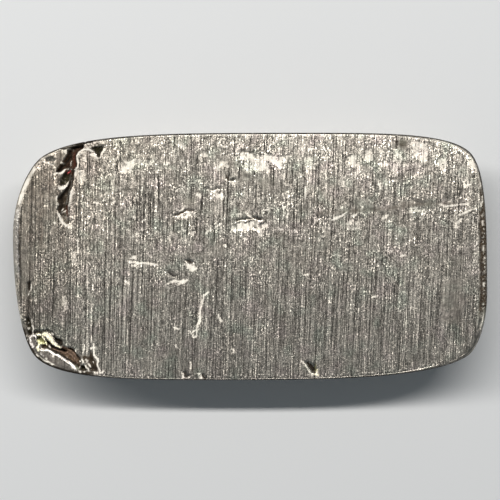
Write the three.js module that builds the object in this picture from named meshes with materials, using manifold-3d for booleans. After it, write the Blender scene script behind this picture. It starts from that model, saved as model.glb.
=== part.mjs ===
// A poured silver bar of the ten ounce class, cast in an open mould and linished flat on its wide face.
// It lies on its mould side. Millimetres, +Z up, +X along the bar, origin at the middle of the base.
import * as THREE from "three";
import { mergeVertices, toCreasedNormals } from "three/addons/utils/BufferGeometryUtils.js";
import Module from "manifold-3d";

// ---- Driving dimensions ----

const LENGTH = 76.0; // over the widest line, just under the wide face
const WIDTH = 39.6;
const HEIGHT = 11.25;

// The mould draws in towards the base.
const DRAFT = 8; // degrees from upright
const BASE_EDGE_RADIUS = 3.0;

// The metal pulled in from the mould as it froze, so the rim of the wide face rolls off,
// most at the ends and hardly at all along the sides.
const ROLL_LEFT_END = 1.0;
const ROLL_RIGHT_END = 1.3;
const ROLL_SIDE = 0.3;
const ROLL_DROP = 0.7;

// The outline: each side bows out to one crown, and each corner turns through one point.
const CROWNS = {
  rightEndY: -6.1,
  upperSideX: 7.0,
  leftEndY: 3.4,
  lowerSideX: -3.1,
};
// A corner's turning point, measured in from the end and from the side, and its slope in degrees.
const CORNERS = {
  upperRight: { fromEnd: 2.7, fromSide: 3.2, slope: 45.7 },
  upperLeft: { fromEnd: 4.6, fromSide: 3.9, slope: 35.7 },
  lowerLeft: { fromEnd: 3.4, fromSide: 4.0, slope: 52.3 },
  lowerRight: { fromEnd: 3.1, fromSide: 3.9, slope: 33.5 },
};
const CROWN_REACH = 0.476; // how far a crown's tangent runs, as a share of the way to the corner
const CORNER_REACH = 0.167; // the same for a corner's tangent

// Flaws on the wide face. A furrow is a row of stations [x, y, half width, depth].
// Near a corner of the bar, x and y are measured in from the end and from the side.
// Elsewhere they are measured from the middle of the bar, as x and y are.

// Upper left: a cold shut, where two tongues of metal met without joining. It opens at the rim,
// sends a branch to the left and ends in a hooked tail.
const COLD_SHUT = {
  body: { lean: 0.3, stations: [
    [10.1, 1.6, 1.3, 0.7], [9.7, 3.2, 0.9, 1.1], [9.1, 4.9, 1.1, 1.2], [9.1, 6.5, 0.8, 1.0],
    [8.8, 8.0, 0.65, 1.1], [8.7, 9.2, 0.6, 1.0], [8.0, 10.9, 0.85, 0.9], [8.0, 12.3, 0.65, 0.8],
    [8.4, 13.5, 0.6, 0.5], [8.8, 14.4, 0.45, 0.3], [9.3, 15.3, 0.1, 0.1],
  ] },
  leftBranch: { lean: -0.2, stations: [
    [9.2, 4.4, 0.8, 0.9], [8.0, 5.5, 0.55, 0.8], [6.8, 6.4, 0.1, 0.15],
  ] },
  leftPocket: { lean: -0.3, stations: [
    [9.0, 6.8, 0.8, 0.8], [8.1, 7.8, 0.6, 0.8], [7.6, 8.7, 0.15, 0.2],
  ] },
  rimStrip: { lean: 0, stations: [
    [7.8, 3.1, 0.15, 0.2], [10.0, 1.7, 0.55, 0.8], [11.8, 1.2, 0.5, 0.7], [13.2, 1.2, 0.4, 0.6],
  ] },
  rimNotch: { lean: 0.3, stations: [
    [13.3, 1.2, 0.75, 0.8], [13.9, 2.3, 0.65, 0.7], [14.1, 3.5, 0.1, 0.15],
  ] },
};

// Lower left: a lap, where a skin of metal folded over the corner. Two furrows run beside each
// other with a sharp ridge between them, and the outer lip is pressed down.
const FOLDED_LAP = {
  outerLip: { lean: 0, stations: [
    [4.1, 4.9, 0.25, 0.15], [5.7, 3.6, 0.85, 0.45], [7.6, 2.5, 0.9, 0.5], [9.6, 1.5, 0.5, 0.4],
    [11.0, 1.0, 0.2, 0.2],
  ] },
  floor: { lean: 0.35, stations: [
    [4.6, 6.9, 0.3, 0.4], [5.9, 5.9, 0.75, 0.8], [7.6, 4.8, 0.95, 1.0], [9.2, 3.5, 0.85, 1.0],
    [10.8, 2.3, 0.7, 1.1], [11.6, 1.4, 0.35, 0.9],
  ] },
  upperFurrow: { lean: 0.5, stations: [
    [3.6, 7.3, 0.15, 0.3], [5.0, 7.9, 0.3, 0.5], [6.4, 7.3, 0.4, 0.6], [7.9, 6.3, 0.5, 0.7],
    [9.3, 5.1, 0.3, 0.5], [10.6, 3.7, 0.15, 0.2],
  ] },
  crevice: { lean: 0, stations: [
    [11.4, 4.6, 0.25, 0.3], [12.1, 3.1, 0.7, 0.5], [12.8, 1.8, 0.95, 0.6], [13.2, 1.0, 0.9, 0.5],
  ] },
  creviceEdge: { lean: 0, stations: [
    [12.5, 7.0, 0.1, 0.1], [13.2, 5.0, 0.25, 0.25], [13.8, 3.1, 0.25, 0.3], [14.7, 0.9, 0.3, 0.3],
  ] },
  endPits: { lean: 0, stations: [
    [2.2, 10.3, 0.15, 0.2], [2.5, 9.2, 0.4, 0.6], [2.7, 8.0, 0.3, 0.3], [2.9, 6.9, 0.45, 0.6],
    [3.4, 6.1, 0.15, 0.2],
  ] },
};

// Lower side, right of the middle: the rim is nicked.
const NICK = {
  nick: { lean: 0.3, stations: [
    [8.1, 3.1, 0.1, 0.1], [9.1, 2.4, 0.3, 0.35], [9.9, 1.7, 0.45, 0.55], [10.7, 0.4, 0.6, 0.6],
  ] },
};

// Upper side, near the right end: a drag mark runs in from the rim.
const DRAG_MARK = {
  dragMark: { lean: 0, stations: [
    [14.5, 0.2, 0.35, 0.5], [14.5, 1.2, 0.3, 0.35], [14.6, 2.4, 0.1, 0.1],
  ] },
};

// Right end: creases that the wheel did not reach the bottom of.
const CREASES = {
  longCrease: { lean: 0, stations: [
    [11.7, 10.7, 0.1, 0.05], [10.6, 11.1, 0.3, 0.15], [7.6, 11.4, 0.3, 0.12], [5.0, 12.1, 0.35, 0.2],
    [3.6, 12.4, 0.35, 0.15], [2.6, 13.2, 0.1, 0.05],
  ] },
  shortCrease: { lean: 0, stations: [
    [5.2, 13.3, 0.15, 0.1], [4.6, 14.2, 0.4, 0.2], [3.9, 15.3, 0.1, 0.05],
  ] },
  uprightCrease: { lean: 0, stations: [
    [4.6, 7.1, 0.1, 0.05], [4.6, 9.0, 0.22, 0.18], [4.7, 11.0, 0.1, 0.05],
  ] },
};

// Left of the middle: a shrinkage crack, placed from the middle of the bar.
const SHRINKAGE_CRACK = {
  crack: { lean: 0, stations: [
    [-6.4, -5.7, 0.1, 0.1], [-7.4, -6.7, 0.3, 0.25], [-7.9, -8.8, 0.25, 0.2], [-8.0, -10.6, 0.3, 0.25],
    [-8.9, -12.7, 0.15, 0.1],
  ] },
};

// Low spots that the wheel left in the wide face, [x, y, length, width, depth, turn in degrees].
const MIDDLE_LOW_SPOTS = [
  [0.0, 4.8, 5.6, 2.7, 0.25, 2],
  [-9.5, -1.4, 2.2, 2.0, 0.3, 10],
  [-11.8, -3.6, 3.3, 2.1, 0.3, -30],
  [-10.1, 6.7, 3.6, 1.3, 0.15, -20],
  [-6.5, 9.8, 4.6, 1.4, 0.12, 5],
  [-17.3, -1.2, 5.4, 0.9, 0.1, -6],
  [-19.6, -4.3, 1.3, 0.9, 0.1, 0],
  [-23.1, 8.6, 3.8, 0.8, 0.08, 0],
  [-27.5, 1.5, 0.8, 2.7, 0.1, -4],
  [-28.3, -7.8, 0.6, 2.4, 0.08, 12],
  [-9.0, 3.8, 1.5, 0.9, 0.1, 10],
  [-5.1, 4.8, 1.6, 0.9, 0.1, 20],
  [-2.9, 12.3, 1.5, 0.9, 0.12, -5],
  [-11.7, -11.5, 1.0, 0.9, 0.1, 0],
  [14.4, 6.3, 3.0, 0.7, 0.1, 30],
];
// The same, with y measured in from the upper side.
const UPPER_LOW_SPOTS = [
  [2.0, 4.3, 7.4, 2.8, 0.16, -2],
  [-4.1, 5.6, 1.5, 1.5, 0.12, 0],
  [-10.8, 1.9, 1.6, 1.3, 0.1, 0],
  [-19.5, 5.4, 1.7, 1.9, 0.12, 15],
  [-17.7, 4.7, 2.1, 1.1, 0.1, 0],
];
// The same, with y measured in from the lower side. Two of them notch the rim.
const LOWER_LOW_SPOTS = [
  [-10.2, 0.4, 0.9, 1.4, 0.4, 0],
  [-7.4, 0.1, 0.9, 1.4, 0.4, 0],
  [-2.6, 4.7, 1.0, 1.0, 0.1, 0],
  [-6.5, 3.8, 0.7, 0.7, 0.15, 0],
];
// The same, with x measured in from the left end: a pit by the end, a dimple by the upper corner
// and the dished curl at the head of the lap.
const LEFT_END_PITS = [
  [2.7, -4.7, 0.7, 1.7, 0.45, 0],
  [5.4, 15.9, 1.7, 0.8, 0.3, 20],
  [3.3, -13.5, 1.1, 1.7, 0.3, 10],
];

// ---- How fine the facets are ----

const OUTLINE_STEPS = 16; // on each of the eight stretches of the outline
const ROLL_STEPS = 4;
const BASE_EDGE_STEPS = 5;
const FURROW_STEPS = 3; // between two stations
const FURROW_SIDES = 6; // across a furrow
const SPOT_AROUND = 14;
const SPOT_RINGS = 10;

// A cutter stands this far proud of the wide face, so that no two faces lie on each other.
const CUTTER_PROUD = 0.5;
// A low spot is the cap of an ellipsoid this many times as deep as the spot.
const SPOT_BODY = 3;
const LEAST_HALF_WIDTH = 0.04;

const SILVER = new THREE.MeshStandardMaterial({
  name: "tarnished silver",
  color: 0x9c958a,
  roughness: 0.42,
  metalness: 1.0,
});

// ---- Outline and body ----

const rad = THREE.MathUtils.degToRad;

// The widest outline of the bar, counterclockwise from the crown of the right end.
function outline() {
  const endX = LENGTH / 2;
  const sideY = WIDTH / 2;
  const crown = (x, y, wayX, wayY) => ({
    at: new THREE.Vector2(x, y),
    way: new THREE.Vector2(wayX, wayY),
    reach: CROWN_REACH,
  });
  const corner = (spec, signX, signY) => ({
    at: new THREE.Vector2(signX * (endX - spec.fromEnd), signY * (sideY - spec.fromSide)),
    way: new THREE.Vector2(-signY * Math.cos(rad(spec.slope)), signX * Math.sin(rad(spec.slope))),
    reach: CORNER_REACH,
  });
  const nodes = [
    crown(endX, CROWNS.rightEndY, 0, 1),
    corner(CORNERS.upperRight, 1, 1),
    crown(CROWNS.upperSideX, sideY, -1, 0),
    corner(CORNERS.upperLeft, -1, 1),
    crown(-endX, CROWNS.leftEndY, 0, -1),
    corner(CORNERS.lowerLeft, -1, -1),
    crown(CROWNS.lowerSideX, -sideY, 1, 0),
    corner(CORNERS.lowerRight, 1, -1),
  ];
  const path = new THREE.Path();
  path.moveTo(nodes[0].at.x, nodes[0].at.y);
  nodes.forEach((from, i) => {
    const to = nodes[(i + 1) % nodes.length];
    const span = from.at.distanceTo(to.at);
    const leave = from.at.clone().addScaledVector(from.way, from.reach * span);
    const arrive = to.at.clone().addScaledVector(to.way, -to.reach * span);
    path.bezierCurveTo(leave.x, leave.y, arrive.x, arrive.y, to.at.x, to.at.y);
  });
  return path.getPoints(OUTLINE_STEPS).slice(0, -1);
}

// The section of the wall, from the base up: how far in from the widest line, and how high.
// inEnd and inSide are shares of the roll at the ends and sides, inAll is millimetres all round.
function wallSection() {
  const section = [];
  const draft = rad(DRAFT);
  const widestZ = HEIGHT - ROLL_DROP;
  const tangentZ = BASE_EDGE_RADIUS * (1 - Math.sin(draft));
  const centreIn = Math.tan(draft) * (widestZ - tangentZ) + BASE_EDGE_RADIUS * Math.cos(draft);
  for (let i = 0; i <= BASE_EDGE_STEPS; i++) {
    const turn = Math.PI / 2 + ((draft - Math.PI / 2) * i) / BASE_EDGE_STEPS;
    section.push({
      inAll: centreIn - BASE_EDGE_RADIUS * Math.cos(turn),
      roll: 0,
      z: BASE_EDGE_RADIUS * (1 - Math.sin(turn)),
    });
  }
  for (let i = 0; i <= ROLL_STEPS; i++) {
    const turn = ((Math.PI / 2) * i) / ROLL_STEPS;
    section.push({ inAll: 0, roll: 1 - Math.cos(turn), z: widestZ + ROLL_DROP * Math.sin(turn) });
  }
  return section;
}

// The outline drawn in by the amounts of one row of the section.
function ring(points, { inAll, roll, z }) {
  const left = inAll + roll * ROLL_LEFT_END;
  const right = inAll + roll * ROLL_RIGHT_END;
  const side = inAll + roll * ROLL_SIDE;
  const scaleX = (LENGTH - left - right) / LENGTH;
  const scaleY = (WIDTH - 2 * side) / WIDTH;
  return points.map((p) => new THREE.Vector3(p.x * scaleX + (left - right) / 2, p.y * scaleY, z));
}

// A closed surface through rings of as many points each, with a flat cap at both ends.
// Each ring runs counterclockwise as seen from the last ring.
function loft(rings) {
  const count = rings[0].length;
  const positions = rings.flat().flatMap((p) => [p.x, p.y, p.z]);
  const faces = [];
  for (let r = 0; r + 1 < rings.length; r++) {
    for (let i = 0; i < count; i++) {
      const a = r * count + i;
      const b = r * count + ((i + 1) % count);
      faces.push(a, b, b + count, a, b + count, a + count);
    }
  }
  const last = (rings.length - 1) * count;
  for (let i = 1; i + 1 < count; i++) {
    faces.push(0, i + 1, i);
    faces.push(last, last + i, last + i + 1);
  }
  const geometry = new THREE.BufferGeometry();
  geometry.setAttribute("position", new THREE.Float32BufferAttribute(positions, 3));
  geometry.setIndex(faces);
  return geometry;
}

// ---- Cutters ----

// A furrow's cutter: a parabola across, swept along its stations. The lean moves the deepest
// line sideways, as a share of the half width, so that one wall is steeper.
function furrow(lean, stations) {
  const spinePoints = stations.map(([x, y]) => new THREE.Vector3(x, y, HEIGHT));
  const sizePoints = stations.map(([, , half, depth]) => new THREE.Vector3(half, depth, 0));
  const spine = new THREE.CatmullRomCurve3(spinePoints);
  const sizes = new THREE.CatmullRomCurve3(sizePoints);
  const steps = (stations.length - 1) * FURROW_STEPS;
  const rings = [];
  for (let i = 0; i <= steps; i++) {
    const middle = spine.getPoint(i / steps);
    const along = spine.getTangent(i / steps);
    const across = new THREE.Vector3(-along.y, along.x, 0);
    const { x: half, y: depth } = sizes.getPoint(i / steps);
    const halfWidth = Math.max(half, LEAST_HALF_WIDTH);
    const section = [];
    for (let k = 0; k <= FURROW_SIDES; k++) {
      const share = (2 * k) / FURROW_SIDES - 1;
      const bowl = 1 - share * share;
      const point = middle.clone().addScaledVector(across, halfWidth * (share + lean * bowl));
      point.z = HEIGHT - Math.max(depth, LEAST_HALF_WIDTH) * bowl;
      section.push(point);
    }
    for (const share of [1, -1]) {
      const point = middle.clone().addScaledVector(across, halfWidth * share);
      point.z = HEIGHT + CUTTER_PROUD;
      section.push(point);
    }
    rings.push(section);
  }
  return loft(rings);
}

// A low spot's cutter: an ellipsoid whose lowest cap is the spot, with its pole downwards.
function lowSpot([x, y, length, width, depth, turn]) {
  const bodyDepth = depth * SPOT_BODY;
  const capShare = Math.sqrt(1 - (1 - depth / bodyDepth) ** 2);
  const geometry = new THREE.SphereGeometry(1, SPOT_AROUND, SPOT_RINGS);
  geometry.rotateX(Math.PI / 2);
  geometry.scale(length / 2 / capShare, width / 2 / capShare, bodyDepth);
  geometry.rotateZ(rad(turn));
  geometry.translate(x, y, HEIGHT + bodyDepth - depth);
  return geometry;
}

// Places measured in from an end or a side of the bar, as places from its middle.
const endX = (sign) => (x) => sign * (LENGTH / 2 - x);
const sideY = (sign) => (y) => sign * (WIDTH / 2 - y);
const same = (value) => value;
const placed = (rows, toX, toY) => rows.map(([x, y, ...rest]) => [toX(x), toY(y), ...rest]);
const placedFurrows = (group, toX, toY) =>
  Object.values(group).map(({ lean, stations }) => furrow(lean, placed(stations, toX, toY)));

function cutters() {
  return [
    ...placedFurrows(COLD_SHUT, endX(-1), sideY(1)),
    ...placedFurrows(FOLDED_LAP, endX(-1), sideY(-1)),
    ...placedFurrows(NICK, same, sideY(-1)),
    ...placedFurrows(DRAG_MARK, endX(1), sideY(1)),
    ...placedFurrows(CREASES, endX(1), sideY(1)),
    ...placedFurrows(SHRINKAGE_CRACK, same, same),
    ...MIDDLE_LOW_SPOTS.map(lowSpot),
    ...placed(UPPER_LOW_SPOTS, same, sideY(1)).map(lowSpot),
    ...placed(LOWER_LOW_SPOTS, same, sideY(-1)).map(lowSpot),
    ...placed(LEFT_END_PITS, endX(-1), same).map(lowSpot),
  ];
}

// ---- Joining and cutting ----

const wasm = await Module();
wasm.setup();

function toSolid(geometry) {
  const bare = geometry.clone();
  bare.deleteAttribute("normal");
  bare.deleteAttribute("uv");
  const merged = mergeVertices(bare);
  return new wasm.Manifold(new wasm.Mesh({
    numProp: 3,
    vertProperties: merged.attributes.position.array,
    triVerts: new Uint32Array(merged.index.array),
  }));
}

function toGeometry(solid) {
  const { vertProperties, triVerts } = solid.getMesh();
  const geometry = new THREE.BufferGeometry();
  geometry.setAttribute("position", new THREE.BufferAttribute(vertProperties, 3));
  geometry.setIndex(new THREE.BufferAttribute(triVerts, 1));
  return toCreasedNormals(geometry, rad(30));
}

function ingotGeometry() {
  const points = outline();
  let body = toSolid(loft(wallSection().map((row) => ring(points, row))));
  for (const cutter of cutters()) body = body.subtract(toSolid(cutter));
  return toGeometry(body);
}

const ingot = new THREE.Mesh(ingotGeometry(), SILVER);
ingot.name = "ingot";

const bar = new THREE.Group();
bar.add(ingot);

export default bar;
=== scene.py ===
"""A poured silver bar, linished on its wide face, lying on a pale table under one long lamp.

The bar's body is lofted as the solid is. Its flaws are outlines and lines whose points were read from the
photograph, in pixels. The cast skin and the wheel's marks are noise."""

import math

import bpy
import numpy as np
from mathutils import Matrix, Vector


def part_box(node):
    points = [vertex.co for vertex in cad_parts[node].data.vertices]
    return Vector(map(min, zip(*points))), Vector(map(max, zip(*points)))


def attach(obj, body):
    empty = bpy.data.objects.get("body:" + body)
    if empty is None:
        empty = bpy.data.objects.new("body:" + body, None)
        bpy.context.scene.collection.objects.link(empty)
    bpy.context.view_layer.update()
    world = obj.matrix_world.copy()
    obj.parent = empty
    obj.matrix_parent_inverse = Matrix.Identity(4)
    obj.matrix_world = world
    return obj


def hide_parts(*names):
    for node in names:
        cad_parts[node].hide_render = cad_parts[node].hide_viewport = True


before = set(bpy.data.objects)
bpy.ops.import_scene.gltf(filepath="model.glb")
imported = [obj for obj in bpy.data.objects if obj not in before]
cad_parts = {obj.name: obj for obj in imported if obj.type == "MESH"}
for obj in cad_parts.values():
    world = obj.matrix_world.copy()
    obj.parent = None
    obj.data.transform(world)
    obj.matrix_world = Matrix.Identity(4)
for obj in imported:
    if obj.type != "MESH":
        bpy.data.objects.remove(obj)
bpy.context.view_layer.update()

MM = 0.001  # the script works in millimetres and hands metres to Blender
HALF_LENGTH, HALF_WIDTH, HEIGHT = (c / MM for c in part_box("ingot")[1])

# ---- The body, with the solid's own sizes ----

DRAFT = math.radians(8)
BASE_EDGE_RADIUS = 3.0
ROLL_LEFT_END = 1.0
ROLL_RIGHT_END = 1.3
ROLL_SIDE = 0.3
ROLL_DROP = 0.7
CROWN_REACH = 0.476
CORNER_REACH = 0.167
# Crowns, with the place along their side, and corners, in from the end and the side, with their slope.
RIGHT_CROWN, UPPER_CROWN, LEFT_CROWN, LOWER_CROWN = -6.1, 7.0, 3.4, -3.1
UPPER_RIGHT = (2.7, 3.2, 45.7)
UPPER_LEFT = (4.6, 3.9, 35.7)
LOWER_LEFT = (3.4, 4.0, 52.3)
LOWER_RIGHT = (3.1, 3.9, 33.5)

# ---- How fine the mesh is ----

CELLS_ALONG = 352  # of the wide face, from end to end
CELLS_ACROSS = 224
FINE_END = -22.5  # left of this x the cells are finest, because the deep flaws are there
FINE_MIDDLE = 11.0  # and left of this x they are finer, because of the low spots
FINE_SHARE = (0.43, 0.68)  # the width of a fine cell, as a share of a plain one
FINE_FADE = 3.0  # how far to each side of these places the cells change in width
RIM_INSETS = (0.4, 0.18)  # how far in on the wide face the rim's first rows lie
RIM_ROWS = 7
WALL_ROWS = 8
WALL_CROWDING = 1.15  # above 1, the wall's rows crowd at its upper edge
BASE_EDGE_ROWS = 5
BASE_RINGS = (0.97, 0.85, 0.6, 0.3)

# ---- The photograph's measure ----

PICTURE = 500
BAR_IN_PICTURE = (250.05, 256.40)  # the bar's middle, in the photograph's pixels
BAR_PIXELS = 474.4  # the bar's length there
CAMERA_HEIGHT = 300.0  # above the widest outline
PITCH = 2 * HALF_LENGTH / BAR_PIXELS  # millimetres of the widest outline to a pixel
FACE_PITCH = PITCH * (CAMERA_HEIGHT - ROLL_DROP) / CAMERA_HEIGHT  # and of the wide face

# ---- The flaws ----

# The colours of what has settled in the flaws, of bare edges whose glint is a painted highlight, and of
# painted shade.
STAINS = {
    "soot": (0.032, 0.024, 0.016),
    "umber": (0.072, 0.052, 0.033),
    "slate": (0.060, 0.055, 0.048),
    "olive": (0.034, 0.029, 0.013),
    "chestnut": (0.078, 0.044, 0.027),
    "rust": (0.115, 0.042, 0.026),
    "bronze": (0.125, 0.082, 0.050),
    "drab": (0.25, 0.21, 0.16),
    "dusk": (0.15, 0.14, 0.12),
    "moss": (0.23, 0.22, 0.10),
    "sage": (0.27, 0.27, 0.20),
    "clay": (0.27, 0.18, 0.13),
    "ash": (0.30, 0.28, 0.25),
    "blush": (0.160, 0.134, 0.118),
    "frost": (0.40, 0.40, 0.40),
    "garnet": (0.60, 0.12, 0.11),
    "gold": (0.95, 0.88, 0.62),
    "brass": (0.76, 0.72, 0.40),
    "pale": (0.97, 0.90, 0.82),
}

# Light stains with soft edges, and a few veils of painted shade: stain, share, raggedness, outline. Here
# and below, places and half widths are in the photograph's pixels, and depths are in millimetres.
VEILS = {
    "head west": ("umber", 0.55, 0.9, [(56, 152.5), (61, 150.5), (66, 153.5), (62, 163), (57, 168.5),
        (54.5, 164)]),
    "above the notch": ("olive", 0.85, 0.8, [(84, 144), (101, 141), (103.5, 144.5), (102, 147), (96, 147),
        (92, 149.5), (87, 148.5)]),
    "upper stretch": ("sage", 0.4, 0, [(182, 198.5), (190, 196.5), (196, 197.5), (198, 204.5), (197, 210.5),
        (188, 211), (183, 209.5)]),
    "beside the drag mark": ("sage", 0.7, 0, [(398.5, 138), (407.5, 139.5), (407, 144.5), (404, 147.5),
        (399, 147)]),
    "beside the broad spot": ("sage", 0.35, 0, [(258, 180.5), (266, 174.5), (275, 176.5), (277, 184.5),
        (270, 192.5), (260, 190.5)]),
    "mauve patch": ("blush", 0.2, 0, [(268, 186.5), (276, 182.5), (286, 184.5), (288, 196.5), (280, 203.5),
        (271, 199.5)]),
    "lap lip": ("blush", 0.85, 0.35, [(37, 351), (49, 352.5), (53, 356), (57, 356.5), (77, 371.5),
        (70, 372), (50, 365), (38, 355)]),
    "ring": ("blush", 0.7, 0.1, [(31, 338), (33, 336), (36.5, 342), (35.5, 347), (33, 348), (31, 344)]),
    # The brow is a painted shadow below the lap.
    "brow": ("umber", 0.9, 0.5, [(76.5, 353.5), (91, 355), (92, 358.5), (84, 364), (80.5, 362)]),
    "crevice brow": ("umber", 1, 0.2, [(84, 359), (89, 356), (92, 352), (98, 363), (98.5, 371.5),
        (87, 371)]),
    # Gash west is painted shade on the slope beside the gash.
    "gash west": ("dusk", 0.5, 0.5, [(58, 196), (60.5, 190), (65, 190), (61, 196.5)]),
    "arm": ("olive", 0.7, 0.4, [(76, 147), (82, 146), (83.5, 147.5), (80.5, 150.5), (77, 151.5)]),
    "corner pocket": ("slate", 0.8, 0.3, [(32, 350), (35, 350.5), (43.5, 358), (44, 360.5), (35, 355)]),
    "wing": ("umber", 0.9, 0.5, [(67.5, 151), (61, 158), (56, 170.5), (60, 170), (65, 163.5), (69, 156)]),
    "west tarnish": ("umber", 0.35, 0.6, [(20, 215), (31, 172), (48, 167), (58, 190), (58, 225), (52, 250),
        (22, 255)]),
    "west edge": ("slate", 0.4, 0.4, [(17, 240), (34, 246), (36, 290), (24, 300), (17, 280)]),
    "upper smear": ("umber", 0.2, 0.9, [(224, 160), (250, 175), (266, 178), (268, 186), (250, 190),
        (233, 186), (224, 176)]),
    "west smear": ("umber", 0.15, 0.9, [(190, 150), (212, 150), (214, 182), (196, 184)]),
    "dark spot": ("olive", 0.3, 0.4, [(297, 205), (306, 204), (307, 212), (298, 213)]),
    "wrinkle": ("umber", 0.6, 0.5, [(312, 211.5), (420, 202.5), (460, 200.5), (460, 204.5), (314, 217)]),
    "east dark": ("slate", 0.65, 0.5, [(440, 282), (462, 276), (466, 300), (458, 326), (440, 322)]),
    "corner olive": ("olive", 0.12, 0.5, [(38, 292), (70, 290), (84, 310), (80, 330), (55, 332),
        (38, 318)]),
    "nick bed": ("umber", 0.75, 0.3, [(308, 365.5), (312, 368.5), (317, 365), (317.5, 371), (314, 373.5),
        (310.5, 371)]),
    "upper dark": ("umber", 0.3, 0.9, [(208, 141), (226, 141), (234, 158), (250, 174), (244, 182),
        (232, 172), (212, 160)]),
    "upper west dark": ("slate", 0.25, 0.9, [(132, 142), (160, 140), (160, 152), (134, 155)]),
    "soft line": ("umber", 0.5, 0.3, [(399, 201), (414, 199.5), (433, 200), (433, 204), (399, 206)]),
    "drag shade": ("umber", 0.65, 0.4, [(391, 139), (409, 140), (407, 151), (391, 151)]),
    "upper middle dark": ("slate", 0.3, 0.9, [(160, 176), (182, 176), (184, 198), (162, 198)]),
    "middle dark": ("slate", 0.3, 0.9, [(207, 240), (226, 240), (224, 258), (209, 258)]),
    "below broad": ("slate", 0.4, 0.8, [(236, 169), (256, 171), (258, 186), (240, 188)]),
    "east spot dark": ("slate", 0.4, 0.8, [(353, 196), (377, 196), (377, 210), (353, 210)]),
    "east spot dark low": ("slate", 0.35, 0.8, [(312, 230), (332, 230), (332, 250), (313, 250)]),
}

# Outlines that are sunk: depth, width of their wall, unevenness of their floor, the way its streaks run
# in degrees, stain, outline.
HOLLOWS = {
    "gash head": (1.1, 0.22, 0.12, 80, "chestnut", [(68, 150.5), (67.5, 153), (64, 159), (63, 162.5),
        (58.5, 166.5), (56, 171.5), (59, 172.5), (62.5, 171), (65, 169), (67, 168.5), (70, 168.5),
        (74, 169.5), (74.5, 167.5), (76.5, 166.5), (77, 163.5), (76, 160), (76, 156), (77.5, 152.5),
        (83.5, 148), (84, 144.5), (81, 143), (76, 145)]),
    "gash pocket": (0.7, 0.2, 0.12, 70, "olive", [(64.5, 172.5), (62.5, 175), (60, 181), (59.5, 184.5),
        (61, 185.5), (65.5, 184.5), (69.5, 180), (71.5, 172), (71, 169)]),
    "gash body": (0.8, 0.2, 0.15, 75, "umber", [(72, 168), (74, 171), (74, 180), (73, 185), (69.5, 194),
        (69.5, 198), (67.5, 208), (68, 212), (66, 215), (61.5, 216), (59, 211.5), (57.5, 210), (58, 207),
        (59.5, 205), (57.5, 199), (68.5, 184), (70.5, 177)]),
    "gash tail": (0.35, 0.25, 0.1, 110, "drab", [(60, 212.5), (63, 220.5), (65, 223), (67.5, 224.5),
        (69.5, 223.5), (69, 216), (68, 212)]),
    "corner dimple": (0.22, 0.3, 0.05, 80, "dusk", [(44, 159), (47, 157), (51, 156.5), (55, 157.5),
        (57, 160), (53, 161.5), (47, 161.5)]),
    "notch": (0.6, 0.25, 0.1, 80, "olive", [(91, 149), (93, 147), (96, 146), (99, 146.5), (102, 145.5),
        (103.5, 147), (103, 150), (101.5, 152), (100, 156.5), (98.5, 157), (97.5, 156), (97, 154),
        (93, 150)]),
    "lap pocket": (0.45, 0.2, 0.1, 20, "moss", [(37, 338.5), (41.5, 336), (45.5, 343), (41, 344),
        (36.5, 340.5)]),
    "lap floor": (0.6, 0.3, 0.12, -38, "bronze", [(46, 342), (54, 346.5), (58, 348), (61, 348.5),
        (63, 345.5), (69, 348), (71.5, 348), (74, 350), (80, 358), (80.5, 366), (78.5, 368), (76, 367),
        (70, 361.5), (57, 353.5), (54, 353), (48, 348.5), (42, 348.5), (40.5, 346)]),
    "lap blotch": (0.7, 0.2, 0.1, 80, "soot", [(53, 337), (55, 338), (60.5, 339), (62.5, 341), (62.5, 345),
        (61, 346.5), (58.5, 345), (54.5, 340.5)]),
    "lap pit": (0.9, 0.2, 0.1, 80, "olive", [(80.5, 366), (83, 365), (85.5, 367), (86.5, 369),
        (85.5, 371.5), (82.5, 371.5), (81, 370)]),
    "lap crevice": (0.3, 0.3, 0.2, 100, "umber", [(90.5, 350), (92, 351.5), (94, 359), (96, 361.5),
        (98, 372), (90.5, 371.5), (88.5, 369), (92, 367), (92, 363), (90.5, 360), (90, 355)]),
    "rim pit high": (0.5, 0.15, 0.1, 80, "soot", [(27.5, 282), (30, 281.5), (30.5, 285.5), (30, 290.5),
        (28, 290)]),
    "rim pit low": (0.5, 0.2, 0.15, 80, "olive", [(26, 317), (29, 318), (31, 322), (32, 333), (30, 336.5),
        (27.5, 334.5), (26.5, 328)]),
    "nick": (0.4, 0.15, 0.1, 80, "soot", [(305.5, 361.5), (309, 362.5), (312.5, 364.5), (315.5, 368),
        (316.5, 371.5), (314, 373.5), (311.5, 372), (306.5, 364.5)]),
    "middle pit": (0.45, 0.2, 0.1, 80, "soot", [(186, 260), (189, 259.5), (194, 262.5), (191, 264),
        (187, 262.5)]),
}
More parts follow.
